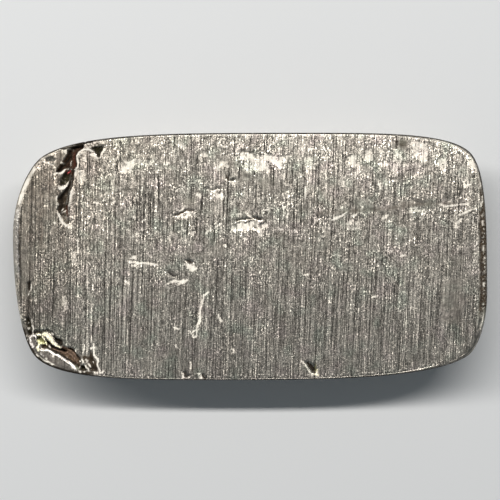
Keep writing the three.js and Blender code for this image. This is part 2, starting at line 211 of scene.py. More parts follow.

# Low spots that the wheel missed, whose cast skin glints with a painted highlight: depth, glint, outline.
LOW_SPOTS = {
    "pit ledge": (0.068, 1, [(184, 264), (191, 265.5), (193, 264.5), (196, 267), (196, 270.5), (193, 272),
        (189.5, 270)]),
    "lower ledge": (0.054, 1, [(169, 281), (173.5, 280), (178, 281), (187, 279), (188, 280), (183, 285.5),
        (181, 283.5), (179.5, 286.5), (174.5, 282.5), (169, 282)]),
    "left fleck": (0.036, 0.8, [(125, 282), (129, 281.5), (129.5, 284.5), (127.5, 285.5), (125, 284.5)]),
    "right corner": (0.045, 0.8, [(467.5, 161.5), (471, 160.5), (474, 163.5), (474.5, 168.5),
        (468.5, 165.5)]),
    "broad west": (0.054, 1, [(240, 151.5), (256, 154.5), (259, 156.5), (258, 160), (256, 162.5),
        (253, 163), (251, 160.5), (243, 159.5), (240, 158)]),
    "broad middle": (0.036, 0.35, [(243, 160), (250, 159), (257, 160), (256, 166), (252, 172.5),
        (247, 172.5)]),
    "broad east": (0.068, 0.95, [(263, 155), (265, 153.5), (268, 153.5), (270, 155), (280, 156),
        (288, 155.5), (288, 160), (285, 161), (283, 168), (279.5, 168), (278, 165.5), (275, 164),
        (273, 161.5), (265, 160)]),
    "broad foot": (0.054, 0.9, [(267.5, 160.5), (263, 162), (259.5, 165), (255.5, 166), (255.5, 169.5),
        (265, 169.5), (266, 172), (268.5, 172.5), (269, 168)]),
    "top ledge": (0.036, 0.75, [(221, 160.5), (224, 160), (228, 161.5), (227, 164), (229, 166.5),
        (225, 167), (223, 165), (220.5, 166.5), (220, 170.5), (217.5, 171), (214, 166.5), (218, 165)]),
    "upper ledge": (0.054, 0.9, [(218, 192.5), (221, 192), (223, 195), (224, 197.5), (222, 200),
        (217, 197.5), (216, 195.5)]),
    "upper ledge west": (0.012, 0.28, [(209, 193.5), (213, 191.5), (216.5, 191.5), (214.5, 198.5),
        (211, 199)]),
    "upper fleck": (0.027, 0.8, [(195.5, 193.5), (198, 192.5), (201, 194.5), (201, 197), (199, 198.5),
        (197, 198)]),
    "groove ledge": (0.054, 0.95, [(175, 219.5), (175.5, 217.5), (178, 216), (189, 211.5), (194.5, 213),
        (196.5, 216), (191, 214.5), (186.5, 217.5), (183.5, 218), (180, 217)]),
    "groove foot": (0.036, 0.9, [(190, 232), (195.5, 231), (195, 236), (192.5, 236), (190.5, 234.5)]),
    "big dimple": (0.09, 0.95, [(230.5, 227.5), (238, 222.5), (242, 222), (243, 223.5), (253, 220.5),
        (256, 220.5), (259, 222), (258.5, 224), (266, 223), (266.5, 225.5), (263.5, 229), (266, 231),
        (263.5, 232), (263.5, 235.5), (261.5, 237), (260, 234.5), (260, 232), (256.5, 231.5),
        (255.5, 229.5), (242, 229.5), (235, 231), (232, 230)]),
    "upper left": (0.054, 0.9, [(121.5, 162.5), (124, 161), (130, 162), (131, 159.5), (133, 158.5),
        (134, 161), (133.5, 166), (130.5, 173), (127.5, 171), (126, 173), (123, 172.5), (121, 168.5)]),
    "upper left tail": (0.027, 0.6, [(134, 158.5), (150, 161), (151, 165), (148, 167.5), (141, 164),
        (136, 164)]),
    "top fleck": (0.027, 0.65, [(177, 143), (180, 142), (185, 144), (188, 147), (187, 149.5),
        (177.5, 145.5)]),
    "top fleck east": (0.027, 0.6, [(201, 150.5), (206, 151), (206.5, 156), (204, 157.5), (201.5, 155)]),
    "left bits": (0.02, 0.6, [(130, 235.5), (133, 235), (134.5, 237), (132.5, 239), (130.5, 238)]),
    "east streak": (0.02, 0.4, [(304, 158), (311, 156), (312, 166), (309, 183), (306, 183), (307, 170)]),
    "east spot a": (0.03, 0.75, [(348, 155), (356, 154), (359, 165), (356, 178), (354, 167), (349, 164)]),
    "east spot b": (0.03, 0.8, [(378, 163), (387, 160), (389, 164), (381, 167)]),
    "east spot c": (0.03, 0.65, [(411, 141), (427, 143), (428, 160), (421, 164), (418, 154), (412, 158)]),
    "east spot d": (0.03, 0.8, [(436, 161), (443, 157), (447, 163), (443, 173), (439, 169)]),
    "east spot e": (0.02, 0.6, [(364, 150), (372, 149), (373, 160), (366, 162)]),
    "east spot f": (0.02, 0.6, [(389, 165), (399, 163), (401, 173), (393, 177)]),
    "east spot g": (0.03, 0.6, [(407, 208), (424, 206), (428, 210), (424, 216), (419, 211), (409, 213)]),
    "east spot h": (0.03, 0.6, [(346, 222), (352, 218), (358, 221), (359, 229), (348, 231)]),
    "broad gap": (0.04, 0.5, [(254, 155), (265, 154), (266, 163), (258, 167), (254, 164)]),
    "gash east": (0.02, 0.5, [(76, 170), (84, 170), (85, 180), (80, 186), (76, 178)]),
    "west specks": (0.02, 0.5, [(70, 252), (76, 250), (77, 264), (72, 266)]),
    "west specks low": (0.02, 0.45, [(62, 296), (68, 294), (69, 310), (63, 312)]),
}

# Seams (negative rise), fins and bright edges, whose glint is a painted highlight: rise, glint, stain, line
# with its half widths. They are drawn in this order.
SEAMS = {
    "dimple edge": (0, 0.8, "", [(42, 161.5, 0.4), (46, 162.5, 0.7), (49.5, 164, 0.9), (53, 164.5, 0.8)]),
    "rim seam": (-0.25, 0, "soot", [(62, 149, 0.5), (68, 147.5, 0.7), (72, 147, 1.1), (81, 143.5, 0.9),
        (96, 140.5, 0.5)]),
    "pit high edge": (0, 0.8, "", [(31.5, 284.5, 0.4), (31, 289.5, 0.5), (29.5, 292, 0.8),
        (28.5, 294.5, 0.5)]),
    "nick edge": (0, 1, "", [(301, 361, 0.4), (302.5, 362.5, 0.5), (304.5, 363.5, 0.6), (305.5, 365.5, 0.6),
        (307, 367, 0.4), (310.5, 374, 0.5), (312.5, 375.5, 0.8)]),
    "nick bead": (0.1, 1, "gold", [(315.5, 374, 1.4), (317.5, 374.5, 1.4)]),
    "bottom notch west edge": (0, 1, "", [(181.5, 371.5, 0.9), (182.5, 374.5, 0.9), (183, 377, 1.2),
        (182, 378.5, 0.8)]),
    "bottom notch east edge": (0, 0.9, "", [(198, 373.5, 0.6), (200, 373.5, 0.7), (201.5, 375.5, 0.8),
        (202, 377.5, 1.2), (200, 378.5, 0.8)]),
    "groove": (-0.1, 0, "umber", [(175, 215.5, 0.7), (178, 214.5, 0.9), (181, 212.5, 0.9), (187, 210, 0.9),
        (193.5, 211, 0.5)]),
    "groove curl": (0, 0.8, "", [(176.5, 208.5, 0.5), (178.5, 210.5, 0.7), (181, 210.5, 0.7),
        (183, 208.5, 0.7), (184, 206.5, 0.5)]),
    "upper seam": (-0.04, 0, "dusk", [(206, 188, 0.8), (210, 190, 0.7), (214, 189.5, 1), (217, 188, 1.3),
        (221, 188, 1)]),
    "black fleck": (-0.2, 0, "soot", [(231.5, 180, 0.9), (233.5, 180, 1.1)]),
    "broad seam": (-0.05, 0, "dusk", [(241, 150.5, 0.6), (247, 152, 0.7), (253, 153, 0.4)]),
    "dimple seam": (-0.1, 0, "soot", [(235.5, 221.5, 0.7), (238, 220, 0.7), (245, 219, 0.7),
        (249, 219, 0.7), (253, 217.5, 0.9), (257, 218.5, 1.1), (261.5, 219.5, 0.8)]),
    "dimple crest": (0, 0.7, "", [(245.5, 212, 0.7), (248, 215, 1.1), (250, 216.5, 1), (252, 217.5, 0.7)]),
    "arc": (0, 0.8, "", [(215, 229, 0.6), (216, 226.5, 0.7), (218.5, 225, 0.8), (222, 224.5, 0.6)]),
    "arc foot": (0, 0.75, "", [(205.5, 233.5, 1), (208, 231, 1.1), (211, 229.5, 0.9)]),
    "long ledge": (0, 1, "", [(129.5, 262, 0.9), (135, 262.5, 1.1), (139, 263.5, 1), (144, 263, 0.9),
        (147, 263.5, 0.4), (149, 263.5, 0.9), (154, 264.5, 0.9), (157, 265.5, 0.7)]),
    "shade": (-0.05, 0, "slate", [(168, 271.5, 1.2), (171, 274, 2), (175, 276, 1.4)]),
    "lower ledge tail": (0, 0.6, "", [(166, 284, 0.6), (170, 282.5, 0.7), (174, 282, 0.8)]),
    "crack": (0.05, 1, "", [(208.5, 292, 0.8), (203.5, 296, 0.8), (203.5, 298.5, 0.9), (202, 302.5, 0.7),
        (202, 304.5, 0.8), (200.5, 308, 0.7), (200, 314, 0.8), (200.5, 320, 1.5), (199, 323, 1.4),
        (197.5, 325, 1.2), (196, 330.5, 0.7)]),
    "crack ring": (0.05, 0.9, "", [(196, 330.5, 0.6), (197, 333.5, 0.7), (196, 336.5, 0.8),
        (193.5, 337, 0.7), (192, 335, 0.6), (191.5, 332.5, 0.6), (194, 331, 0.5), (196, 330.5, 0.5)]),
    "low fleck": (0, 0.7, "", [(231, 348.5, 0.6), (233.5, 349.5, 0.7), (234.5, 352, 0.7),
        (232, 352.5, 0.5)]),
    "right crease": (-0.03, 0, "dusk", [(413, 200, 1), (418, 201.5, 1.3), (424, 202.5, 1.1),
        (428, 201.5, 0.6)]),
    "right ledge a": (0, 0.9, "", [(440, 204, 0.8), (445, 206.5, 1.1), (450, 206, 0.9), (456, 205, 1)]),
    "right ledge b": (0, 0.9, "", [(460.5, 204, 0.9), (464, 204.5, 1.2), (468, 203.5, 0.9)]),
    "right ledge c": (0, 0.9, "", [(461, 214.5, 1.2), (464.5, 212.5, 1.3), (469, 210.5, 1),
        (471.5, 209, 0.6)]),
    "right ledge d": (0, 0.8, "", [(456, 228.5, 0.9), (457.5, 222.5, 1.2), (461, 219, 1)]),
    "drag mark": (-0.1, 0, "soot", [(396.5, 137, 1.2), (396.5, 142, 1.6), (396, 148.5, 1)]),
    "drag lip": (0, 0.9, "", [(394, 161.5, 0.9), (396, 156.5, 1.2), (397.5, 152, 0.8)]),
    "nick stain": (0, 0, "moss", [(315.5, 363.5, 0.6), (315.5, 368, 0.9), (316, 371, 0.7)]),
    "drag lip east": (0, 0.8, "", [(400, 153.5, 0.7), (400.5, 158.5, 0.9), (400, 163.5, 0.7)]),
    "head dark": (-0.2, 0, "soot", [(69.5, 151.5, 1.4), (70, 156, 1.5), (67.5, 160, 1.2), (64, 164.5, 1),
        (61, 168, 1.2), (58, 171, 0.8)]),
    "head top": (-0.2, 0, "soot", [(72, 149, 1.4), (80, 145, 1)]),
    "head red": (0, 0, "rust", [(73.5, 153, 0.9), (74.5, 163, 1.3), (73.5, 166.5, 0.9)]),
    "red west": (0, 0, "rust", [(63.5, 172, 0.8), (65.5, 170.5, 1.3), (67, 170.5, 1)]),
    "red east": (0, 0, "rust", [(71, 171, 0.8), (71.5, 173.5, 0.8)]),
    "red glint": (0.35, 0.3, "garnet", [(67.5, 173, 0.8), (69, 172, 1.1), (70, 171, 0.7)]),
    "inner rim": (0.4, 0.1, "dusk", [(71.5, 177, 0.4), (71, 185.5, 0.5), (69.5, 189, 0.5),
        (67.5, 196.5, 0.8), (65.5, 205.5, 0.5)]),
    "body core": (-0.2, 0, "soot", [(67.5, 187, 0.9), (65.5, 190.5, 1.3), (63, 194, 1.5), (60, 197.5, 1.5),
        (61, 202, 1.5), (62.5, 206.5, 1.1)]),
    "tail core": (-0.2, 0, "soot", [(60, 211.5, 0.8), (61.5, 214, 1), (64, 215, 1), (65.5, 216.5, 0.7)]),
    "tail red": (0, 0, "rust", [(66.5, 206, 0.8), (66.5, 211, 1), (67.5, 216, 0.7)]),
    "tail streak": (0.1, 0.2, "ash", [(64.5, 216.5, 0.5), (67, 217, 0.6), (67.5, 220, 0.5),
        (65, 221.5, 0.4)]),
    "branch fin": (0.5, 1, "", [(53, 174.5, 0.5), (56, 173, 0.8), (60, 173.5, 0.9), (62.5, 172.5, 0.9),
        (64, 170.5, 0.8), (65.5, 169.5, 0.5)]),
    "shelf": (0.6, 1, "", [(58, 186, 0.8), (59.5, 188.5, 1.2), (62.5, 187.5, 2.2), (65, 187, 1.3),
        (66.5, 185.5, 0.9), (68, 182.5, 0.7)]),
    "right lip": (0, 1, "", [(84, 148.5, 0.6), (79, 153, 0.9), (77, 156, 0.9), (77.5, 159.5, 0.7),
        (78.5, 163, 0.8), (77.5, 166.5, 0.8), (76, 169, 0.9), (75.5, 172.5, 1), (75.5, 176, 0.8)]),
    "right lip foot": (0, 1, "", [(73, 189.5, 0.5), (71, 192.5, 0.9), (70, 197, 0.9), (70, 199.5, 0.6)]),
    "right lip curl": (0, 0.7, "", [(71, 192.5, 0.6), (73.5, 192, 0.6), (76, 194, 0.6)]),
    "left lip": (0, 0.8, "", [(62.5, 151.5, 0.6), (66, 151.5, 1), (67, 153, 0.7)]),
    "tail rim": (0.05, 1, "", [(58, 213.5, 0.6), (59, 215.5, 1.1), (60, 218, 0.8), (60.5, 220.5, 1.2),
        (62, 222.5, 1.4), (66, 225.5, 0.9), (68.5, 226, 0.9), (71, 227.5, 0.5)]),
    "notch lip": (0, 0.6, "", [(104, 149, 0.6), (103.5, 151, 0.8), (101, 155.5, 0.8), (100, 158.5, 0.6)]),
    "tongue": (0, 1, "", [(84, 149.5, 0.9), (88, 149, 1.2), (93, 151.5, 0.8)]),
    "tongue foot": (0, 1, "", [(90, 154.5, 0.9), (93, 154.5, 1.2), (95.5, 156, 1.3), (97.5, 158.5, 0.8)]),
    "tongue ring": (0, 0.6, "", [(79.5, 157, 0.5), (80.5, 154.5, 0.8), (83, 153, 0.9), (85.5, 152.5, 0.9)]),
    "lap roof": (-0.35, 0, "soot", [(29.5, 333.5, 1.5), (33, 333.5, 1.4), (36.5, 332, 1.4),
        (39.5, 332.5, 1.2), (42, 332, 0.9), (44, 331, 0.8), (47, 330.5, 0.8), (50, 332, 0.8),
        (52, 334, 1.1), (56, 339, 1.4)]),
    "lap throat": (-1.1, 0, "soot", [(45.5, 341, 0.8), (47.5, 342.5, 1.2), (53, 347.5, 1.2), (57, 349, 1),
        (60.5, 349.5, 1.4), (66, 351.5, 0.9)]),
    "throat east": (-0.5, 0, "soot", [(69, 348.5, 1), (72, 349.5, 1.3), (74.5, 351.5, 0.9),
        (77, 355.5, 0.6), (79.5, 358.5, 0.7), (80.5, 363, 0.8)]),
    "floor dark": (-0.2, 0, "soot", [(46.5, 347.5, 0.7), (51, 349.5, 1), (60, 354, 0.7), (72, 362, 0.6),
        (78, 366.5, 0.7)]),
    "floor streak a": (0.15, 0.1, "clay", [(52.5, 348.5, 0.4), (56.5, 350.5, 0.6), (61, 352, 0.6),
        (66, 354.5, 0.5)]),
    "floor streak b": (0.15, 0.1, "clay", [(66, 352.5, 0.6), (68.5, 353.5, 1), (71, 355.5, 0.9),
        (74.5, 359, 0.7), (77.5, 363, 0.5)]),
    "floor streak c": (0.15, 0, "clay", [(62.5, 346.5, 0.7), (66.5, 348, 0.9), (69.5, 350.5, 0.6),
        (73, 353, 0.8), (76.5, 357.5, 0.7)]),
    "golden lip": (0, 1, "gold", [(42.5, 334, 1.1), (45.5, 334, 2), (48, 336, 2.4), (50.5, 339, 2.4),
        (53.5, 343.5, 1.3), (56, 345.5, 1), (58.5, 346.5, 0.9), (61, 348, 0.6)]),
    "golden bead": (0.4, 0.9, "gold", [(38, 335, 1.3), (38.5, 334, 1.3)]),
    "golden curl": (0.4, 0.9, "gold", [(40, 335, 0.6), (42, 336.5, 0.8), (45, 341, 0.8), (46, 343.5, 0.8),
        (46.5, 345.5, 0.5)]),
    "golden bar": (0.4, 0.9, "brass", [(38, 340.5, 1), (39, 342.5, 1.5), (43.5, 343.5, 0.9),
        (45.5, 343.5, 0.6)]),
    "golden foot": (0, 0.9, "gold", [(39, 344, 0.7), (38.5, 346, 1), (37.5, 348, 1.7), (38.5, 350, 1.4)]),
    "pocket shade": (-0.3, 0, "olive", [(37, 339, 0.9), (41, 336.5, 0.8)]),
    "lap ridge": (0, 1, "pale", [(40.5, 350, 0.8), (42, 350.5, 0.9), (45, 350.5, 0.9), (47, 350, 1),
        (49.5, 350.5, 1), (53.5, 354, 1.4), (55.5, 355, 0.9), (57.5, 355, 1), (59, 356, 0.9),
        (61, 358, 0.9), (63, 359, 0.8), (68.5, 362.5, 1.2), (70.5, 364, 1.6), (74.5, 368, 1.8),
        (76, 369.5, 0.9)]),
    "ridge end": (0, 0.5, "sage", [(76, 367, 1), (78, 368.5, 1.3), (79.5, 370, 1)]),
    "facet edge": (0, 1, "pale", [(40.5, 352.5, 0.6), (42, 354.5, 0.8), (43.5, 356, 0.7)]),
    "facet shade": (-0.1, 0, "soot", [(37.5, 352.5, 0.5), (43, 357.5, 0.7)]),
    "ring facet": (0, 1, "pale", [(36, 338, 0.5), (35, 336, 0.6), (33, 335.5, 0.8), (31, 336.5, 0.8),
        (30, 338.5, 0.8), (30.5, 343.5, 0.9), (32.5, 347.5, 0.9)]),
    "crevice edge": (0, 1, "", [(91.5, 336, 0.5), (91.5, 341, 0.4), (93.5, 347.5, 0.9), (95, 357, 0.8),
        (97, 359, 1), (98, 360.5, 0.7), (97, 364, 0.5), (99.5, 370, 0.8), (100, 372.5, 0.9)]),
    "crevice knot": (0, 1, "", [(90.5, 348.5, 0.9), (95.5, 347.5, 1.1)]),
    "crevice foot": (0, 1, "", [(100, 373, 1), (102, 372.5, 1), (103, 371, 0.6)]),
    "rim streak": (0, 1, "", [(91, 373.5, 0.6), (94, 373.5, 0.9), (98, 374, 0.7)]),
    "pit low edge": (0, 0.75, "", [(32, 319, 0.4), (32, 325, 0.9), (33.5, 328.5, 1.1), (32.5, 332, 0.5),
        (33, 335, 0.6)]),
    "black fleck tail": (-0.05, 0, "umber", [(226, 175, 0.8), (227, 178.5, 1), (229.5, 180, 0.8)]),
    "dimple seam foot": (-0.05, 0, "umber", [(253, 226.5, 0.5), (256, 227.5, 0.5)]),
    "dimple speck": (-0.05, 0, "umber", [(261, 227, 0.6), (263, 228, 0.5)]),
    "nick streak": (0, 0.7, "gold", [(317.5, 369.5, 0.6), (317, 372, 0.7)]),
    "nick top": (0, 0, "dusk", [(298, 357, 1), (299.5, 359.5, 1)]),
    "bottom notch west": (-0.4, 0, "soot", [(184, 372.5, 0.9), (186.5, 377, 1.4), (189, 375.5, 0.7)]),
    "bottom notch east": (-0.4, 0, "soot", [(202.5, 375, 0.8), (203.5, 377, 1.2), (205, 378.5, 1.3)]),
    "nick furrow": (-0.2, 0, "soot", [(306.5, 362, 0.5), (308.5, 363, 0.9), (312, 366, 1.1),
        (314.5, 369.5, 1.2), (314.5, 371.5, 0.9)]),
    "right lip low": (0, 0.8, "", [(69.5, 206, 0.7), (70, 200, 0.9), (71.5, 195, 0.8), (74.5, 192.5, 0.9)]),
    "crevice rim": (0, 0, "umber", [(80, 369.5, 1.1), (87, 372.5, 1.3), (92.5, 373, 1)]),
}

# Bare flecks, each a painted highlight: both ends and the half width.
FLECKS = {
    "gash": [(54.5, 222.5, 55, 223, 0.9), (56.5, 205.5, 56.5, 206.5, 0.8), (56.5, 196, 56.5, 200.5, 0.5),
        (57, 203.5, 58, 204.5, 0.5), (57, 212, 57.5, 213, 0.6), (58.5, 214.5, 59, 215.5, 1),
        (60.5, 219, 61, 220.5, 1.3), (61, 162.5, 62.5, 163.5, 1.3), (61, 210.5, 63, 208.5, 0.6),
        (61, 213, 63, 212, 0.7), (62.5, 222.5, 63.5, 223.5, 1.3), (63.5, 211.5, 65, 210.5, 1),
        (66.5, 225, 67.5, 225.5, 1.1), (70.5, 161, 70.5, 166, 0.4), (79.5, 171.5, 82.5, 171, 0.8),
        (82.5, 158, 83.5, 160.5, 0.6), (84.5, 155.5, 85.5, 160.5, 0.6), (87, 146.5, 88, 147.5, 0.7),
        (87.5, 143.5, 88.5, 144.5, 0.7), (89.5, 146, 90.5, 147.5, 0.6)],
    "notch": [(90.5, 143.5, 91, 144, 0.4), (92.5, 144.5, 93.5, 146, 0.7), (94, 142.5, 95.5, 142, 0.8),
        (96, 144.5, 97, 145, 0.5), (97.5, 142, 98.5, 142, 0.6), (99.5, 143.5, 100.5, 142.5, 0.6)],
    "lap": [(26.5, 336.5, 26.5, 337, 0.6), (27.5, 339.5, 28, 340, 0.6), (28, 322.5, 28.5, 323.5, 0.6),
        (28.5, 328, 29, 329, 0.9), (36.5, 354.5, 38, 356.5, 0.7), (43, 359.5, 44.5, 360.5, 0.7),
        (45, 361, 47.5, 362, 0.8), (46, 358.5, 46.5, 359, 0.7), (49, 346, 50, 347.5, 0.8),
        (50, 363, 52.5, 365, 0.5), (51.5, 333.5, 53, 335, 0.6), (53, 355, 53, 356.5, 0.9),
        (66, 344.5, 67, 345, 0.7), (75, 350.5, 75.5, 352, 0.9), (75.5, 352, 76.5, 353, 0.7),
        (79.5, 371.5, 80.5, 372.5, 0.9), (79.5, 361.5, 80.5, 362, 0.7)],
    "crevice": [(82, 360, 83.5, 362, 0.9), (84, 372, 85, 372.5, 0.5), (84.5, 345, 84.5, 348, 0.3),
        (84.5, 349, 84.5, 349.5, 0.7), (85, 365, 86.5, 368, 0.6), (86, 359.5, 88, 360.5, 0.8),
        (86.5, 362, 87.5, 362.5, 0.3), (88, 367.5, 89, 371, 0.4), (88.5, 363.5, 91, 367, 0.9),
        (93, 361.5, 94, 363.5, 0.3), (97, 363, 97, 365, 0.4)],
    "left half": [(77.5, 240, 78, 254, 0.6), (94.5, 202.5, 98, 203.5, 0.9), (111.5, 203, 115, 202, 0.9),
        (126, 282, 129, 284, 1.2), (130.5, 258, 135, 257.5, 0.8), (131, 265.5, 135, 266, 0.6),
        (132, 256.5, 134.5, 256, 0.7), (133.5, 217, 134, 218, 0.9), (137, 232.5, 141, 236.5, 0.6),
        (141, 189.5, 141, 190.5, 0.9), (144.5, 219.5, 145, 220, 0.9), (149.5, 255.5, 150.5, 257, 0.6),
        (167.5, 162.5, 168.5, 163, 1.2), (174.5, 327.5, 178, 329, 1.1), (175, 280, 179, 281.5, 0.8),
        (176, 344.5, 177, 347.5, 0.8), (176.5, 190, 177, 191, 0.9), (180, 281.5, 187, 280, 1.3),
        (180, 283.5, 184.5, 282.5, 1.3), (181.5, 229.5, 185, 231, 0.6), (185, 264, 188.5, 265.5, 0.8),
        (186.5, 264.5, 193, 266.5, 1.3), (188, 267.5, 195, 268.5, 1.5), (188.5, 376.5, 188.5, 377.5, 0.8),
        (189.5, 330.5, 190.5, 332, 0.6), (190.5, 362, 190.5, 369, 0.6), (191, 270.5, 194, 270, 1.2),
        (197, 195, 200, 196.5, 1.1)],
    "middle": [(217.5, 195.5, 223, 197, 1.5), (218, 315, 219, 318, 0.7), (219.5, 319, 221.5, 321.5, 1.1),
        (224, 245, 226, 246.5, 0.8), (230.5, 182, 233.5, 184.5, 0.6), (237, 213.5, 240.5, 214, 0.7),
        (244.5, 238.5, 245.5, 239, 1), (253, 201.5, 255, 200.5, 0.5), (264.5, 209.5, 267.5, 209.5, 0.7),
        (277.5, 227.5, 279.5, 229, 0.6), (278.5, 152, 279, 148.5, 0.7), (279.5, 229, 282, 229.5, 0.6),
        (281, 204, 282.5, 203, 0.6), (283, 207, 284, 208, 1.1), (288.5, 203, 289, 204.5, 1.1),
        (295, 230, 296, 231.5, 1)],
    "right half": [(304.5, 275, 308, 274.5, 0.9), (305.5, 187, 305.5, 199, 0.6),
        (333, 219.5, 340, 217, 1.3), (340, 217, 347.5, 211.5, 0.9), (352, 216, 356, 215, 1.1),
        (372, 297, 376, 296.5, 0.9), (383, 219, 387, 215, 1), (387, 250, 391, 251.5, 0.8),
        (400, 256.5, 404.5, 254.5, 0.6), (401, 253.5, 403.5, 257, 0.8), (423, 209.5, 426, 212, 0.8),
        (463, 186, 469, 184.5, 0.9), (465, 185.5, 468.5, 185.5, 0.9)],
    "right rim": [(477, 242, 477, 244, 1), (480.5, 183, 480.5, 188, 0.9), (482, 196, 482, 205, 0.9),
        (482, 321.5, 482, 322.5, 0.8), (482, 237, 482.5, 237.5, 0.8), (483, 213, 483, 216, 0.8),
        (483, 221, 483, 225, 0.9), (483, 314, 483, 318, 0.8), (483.5, 283, 484, 286, 0.9),
        (484, 232.5, 484, 233.5, 0.8), (484, 246, 484, 250, 0.9), (484, 303.5, 484, 304.5, 0.8),
        (484, 262, 484.5, 263, 0.8), (484.5, 272.5, 484.5, 274, 0.9), (484.5, 293.5, 484.5, 294.5, 0.8),
        (485, 257.5, 485, 258.5, 0.8), (485.5, 266.5, 485.5, 267.5, 0.7)],
}

# The longest scratches: upper end, lower end.
SCRATCHES = [
    ((117.5, 158.5), (117, 177.5)), ((134, 193.5), (132, 209.5)), ((137.5, 193.5), (137, 236.5)),
    ((151, 188.5), (150, 231.5)), ((158.5, 168.5), (158, 211.5)), ((174.5, 134.5), (174, 151.5)),
    ((174, 214.5), (173.5, 236.5)), ((188, 217.5), (187, 241.5)), ((198, 154.5), (197, 166.5)),
    ((197, 204.5), (196, 241.5)), ((202.5, 188.5), (202, 211.5)), ((215, 224.5), (214, 246.5)),
    ((229, 163.5), (226, 241.5)), ((239.5, 164.5), (239, 181.5)), ((256.5, 179.5), (255.5, 213.5)),
    ((264.5, 139.5), (264, 153.5)), ((274, 164.5), (273, 191.5)), ((292.5, 160.5), (292, 190.5)),
    ((297.5, 175.5), (296.5, 210.5)), ((301.5, 198.5), (300.5, 228.5)), ((459, 176.5), (457.5, 202.5)),
    ((150.5, 190), (150.5, 241)), ((202, 200), (201.5, 213)), ((287, 171), (285.5, 182)),
    ((271, 162), (271, 188)), ((230.5, 172), (227.5, 182)), ((254.5, 171), (254.5, 176)),
]


# ---- Noise ----

NOISE_CELLS = 128  # after which noise repeats


def noise(x, y, cell, seed):
    """Smooth noise from -1 to 1, with one random value for each cell."""
    table = np.random.default_rng(seed).uniform(-1, 1, (NOISE_CELLS, NOISE_CELLS))
    u, v = x / cell + 0.37 * seed, y / cell - 0.61 * seed
    iu, iv = np.floor(u).astype(int), np.floor(v).astype(int)
    fu, fv = (f * f * f * (f * (6 * f - 15) + 10) for f in (u - iu, v - iv))
    value = lambda a, b: table[(iu + a) % NOISE_CELLS, (iv + b) % NOISE_CELLS]
    low = value(0, 0) * (1 - fu) + value(1, 0) * fu
    high = value(0, 1) * (1 - fu) + value(1, 1) * fu
    return low * (1 - fv) + high * fv


def turned(x, y, degrees):
    c, s = math.cos(math.radians(degrees)), math.sin(math.radians(degrees))
    return c * x + s * y, c * y - s * x


def rough(x, y, cell, seed, octaves=3):
    """Noise in several sizes, each turned, so that no direction shows."""
    out, total = np.zeros_like(x), 0.0
    for k in range(octaves):
        out += 0.5**k * noise(*turned(x, y, 31 + 47 * k), cell / 2**k, seed + 11 * k)
        total += 0.5**k
    return out / total


def smoothstep(low, high, value):
    t = np.clip((value - low) / (high - low), 0, 1)
    return t * t * (3 - 2 * t)


def between(low, high, soft, value):
    """1 from low to high and 0 outside, with soft steps."""
    return smoothstep(low - soft, low + soft, value) * smoothstep(high + soft, high - soft, value)


# ---- The body ----


def outline(steps=240):
    """The widest outline, counterclockwise from the right end's crown, and the index of each corner."""
    crown = lambda x, y, way: ((x, y), way, CROWN_REACH)

    def corner(spec, sign_x, sign_y):
        from_end, from_side, slope = spec[0], spec[1], math.radians(spec[2])
        at = sign_x * (HALF_LENGTH - from_end), sign_y * (HALF_WIDTH - from_side)
        return at, (-sign_y * math.cos(slope), sign_x * math.sin(slope)), CORNER_REACH

    nodes = [
        crown(HALF_LENGTH, RIGHT_CROWN, (0, 1)),
        corner(UPPER_RIGHT, 1, 1),
        crown(UPPER_CROWN, HALF_WIDTH, (-1, 0)),
        corner(UPPER_LEFT, -1, 1),
        crown(-HALF_LENGTH, LEFT_CROWN, (0, -1)),
        corner(LOWER_LEFT, -1, -1),
        crown(LOWER_CROWN, -HALF_WIDTH, (1, 0)),
        corner(LOWER_RIGHT, 1, -1),
    ]
    t = np.linspace(0, 1, steps, endpoint=False)[:, None]
    loop = []
    for (p, way_p, reach_p), (q, way_q, reach_q) in zip(nodes, nodes[1:] + nodes[:1]):
        p, q, way_p, way_q = map(np.array, (p, q, way_p, way_q))
        span = np.linalg.norm(q - p)
        leave, arrive = p + way_p * reach_p * span, q - way_q * reach_q * span
        ends = (1 - t) ** 3 * p + t**3 * q
        loop.append(ends + 3 * (1 - t) ** 2 * t * leave + 3 * (1 - t) * t**2 * arrive)
    return np.vstack(loop), [steps, 3 * steps, 5 * steps, 7 * steps]


def packed(line, count, density):
    """count points along an open line, packed by density."""
    step = np.linalg.norm(np.diff(line, axis=0), axis=1)
    run = np.concatenate([[0], np.cumsum(step * (density[1:] + density[:-1]) / 2)])
    at = np.linspace(0, run[-1], count)
    return np.column_stack([np.interp(at, run, line[:, k]) for k in range(line.shape[1])])


def stations():
    """Points on the widest outline, counterclockwise from its upper right corner."""
    loop, corners = outline()
    loop = np.roll(loop, -corners[0], 0)
    corners = [c - corners[0] for c in corners] + [len(loop)]
    loop = np.vstack([loop, loop[:1]])
    finest, fine = FINE_SHARE
    cell = 1 - (1 - fine) * smoothstep(FINE_MIDDLE + FINE_FADE, FINE_MIDDLE - FINE_FADE, loop[:, 0])
    cell -= (fine - finest) * smoothstep(FINE_END + FINE_FADE, FINE_END - FINE_FADE, loop[:, 0])
    out = []
    for k, cells in enumerate([CELLS_ALONG, CELLS_ACROSS] * 2):
        part = slice(corners[k], corners[k + 1] + 1)
        density = 1 / cell[part] if k % 2 == 0 else np.ones(part.stop - part.start)
        out.append(packed(loop[part], cells + 1, density)[:-1])
    return np.vstack(out)


def ring(loop, inset, roll, z):
    """The outline drawn in: inset is the same all round, roll is a share of the rim's roll."""
    left, right = inset + roll * ROLL_LEFT_END, inset + roll * ROLL_RIGHT_END
    side = inset + roll * ROLL_SIDE
    x = loop[:, 0] * (2 * HALF_LENGTH - left - right) / (2 * HALF_LENGTH) + (left - right) / 2
    y = loop[:, 1] * (HALF_WIDTH - side) / HALF_WIDTH
    return np.column_stack([x, y, np.full(len(loop), z)])


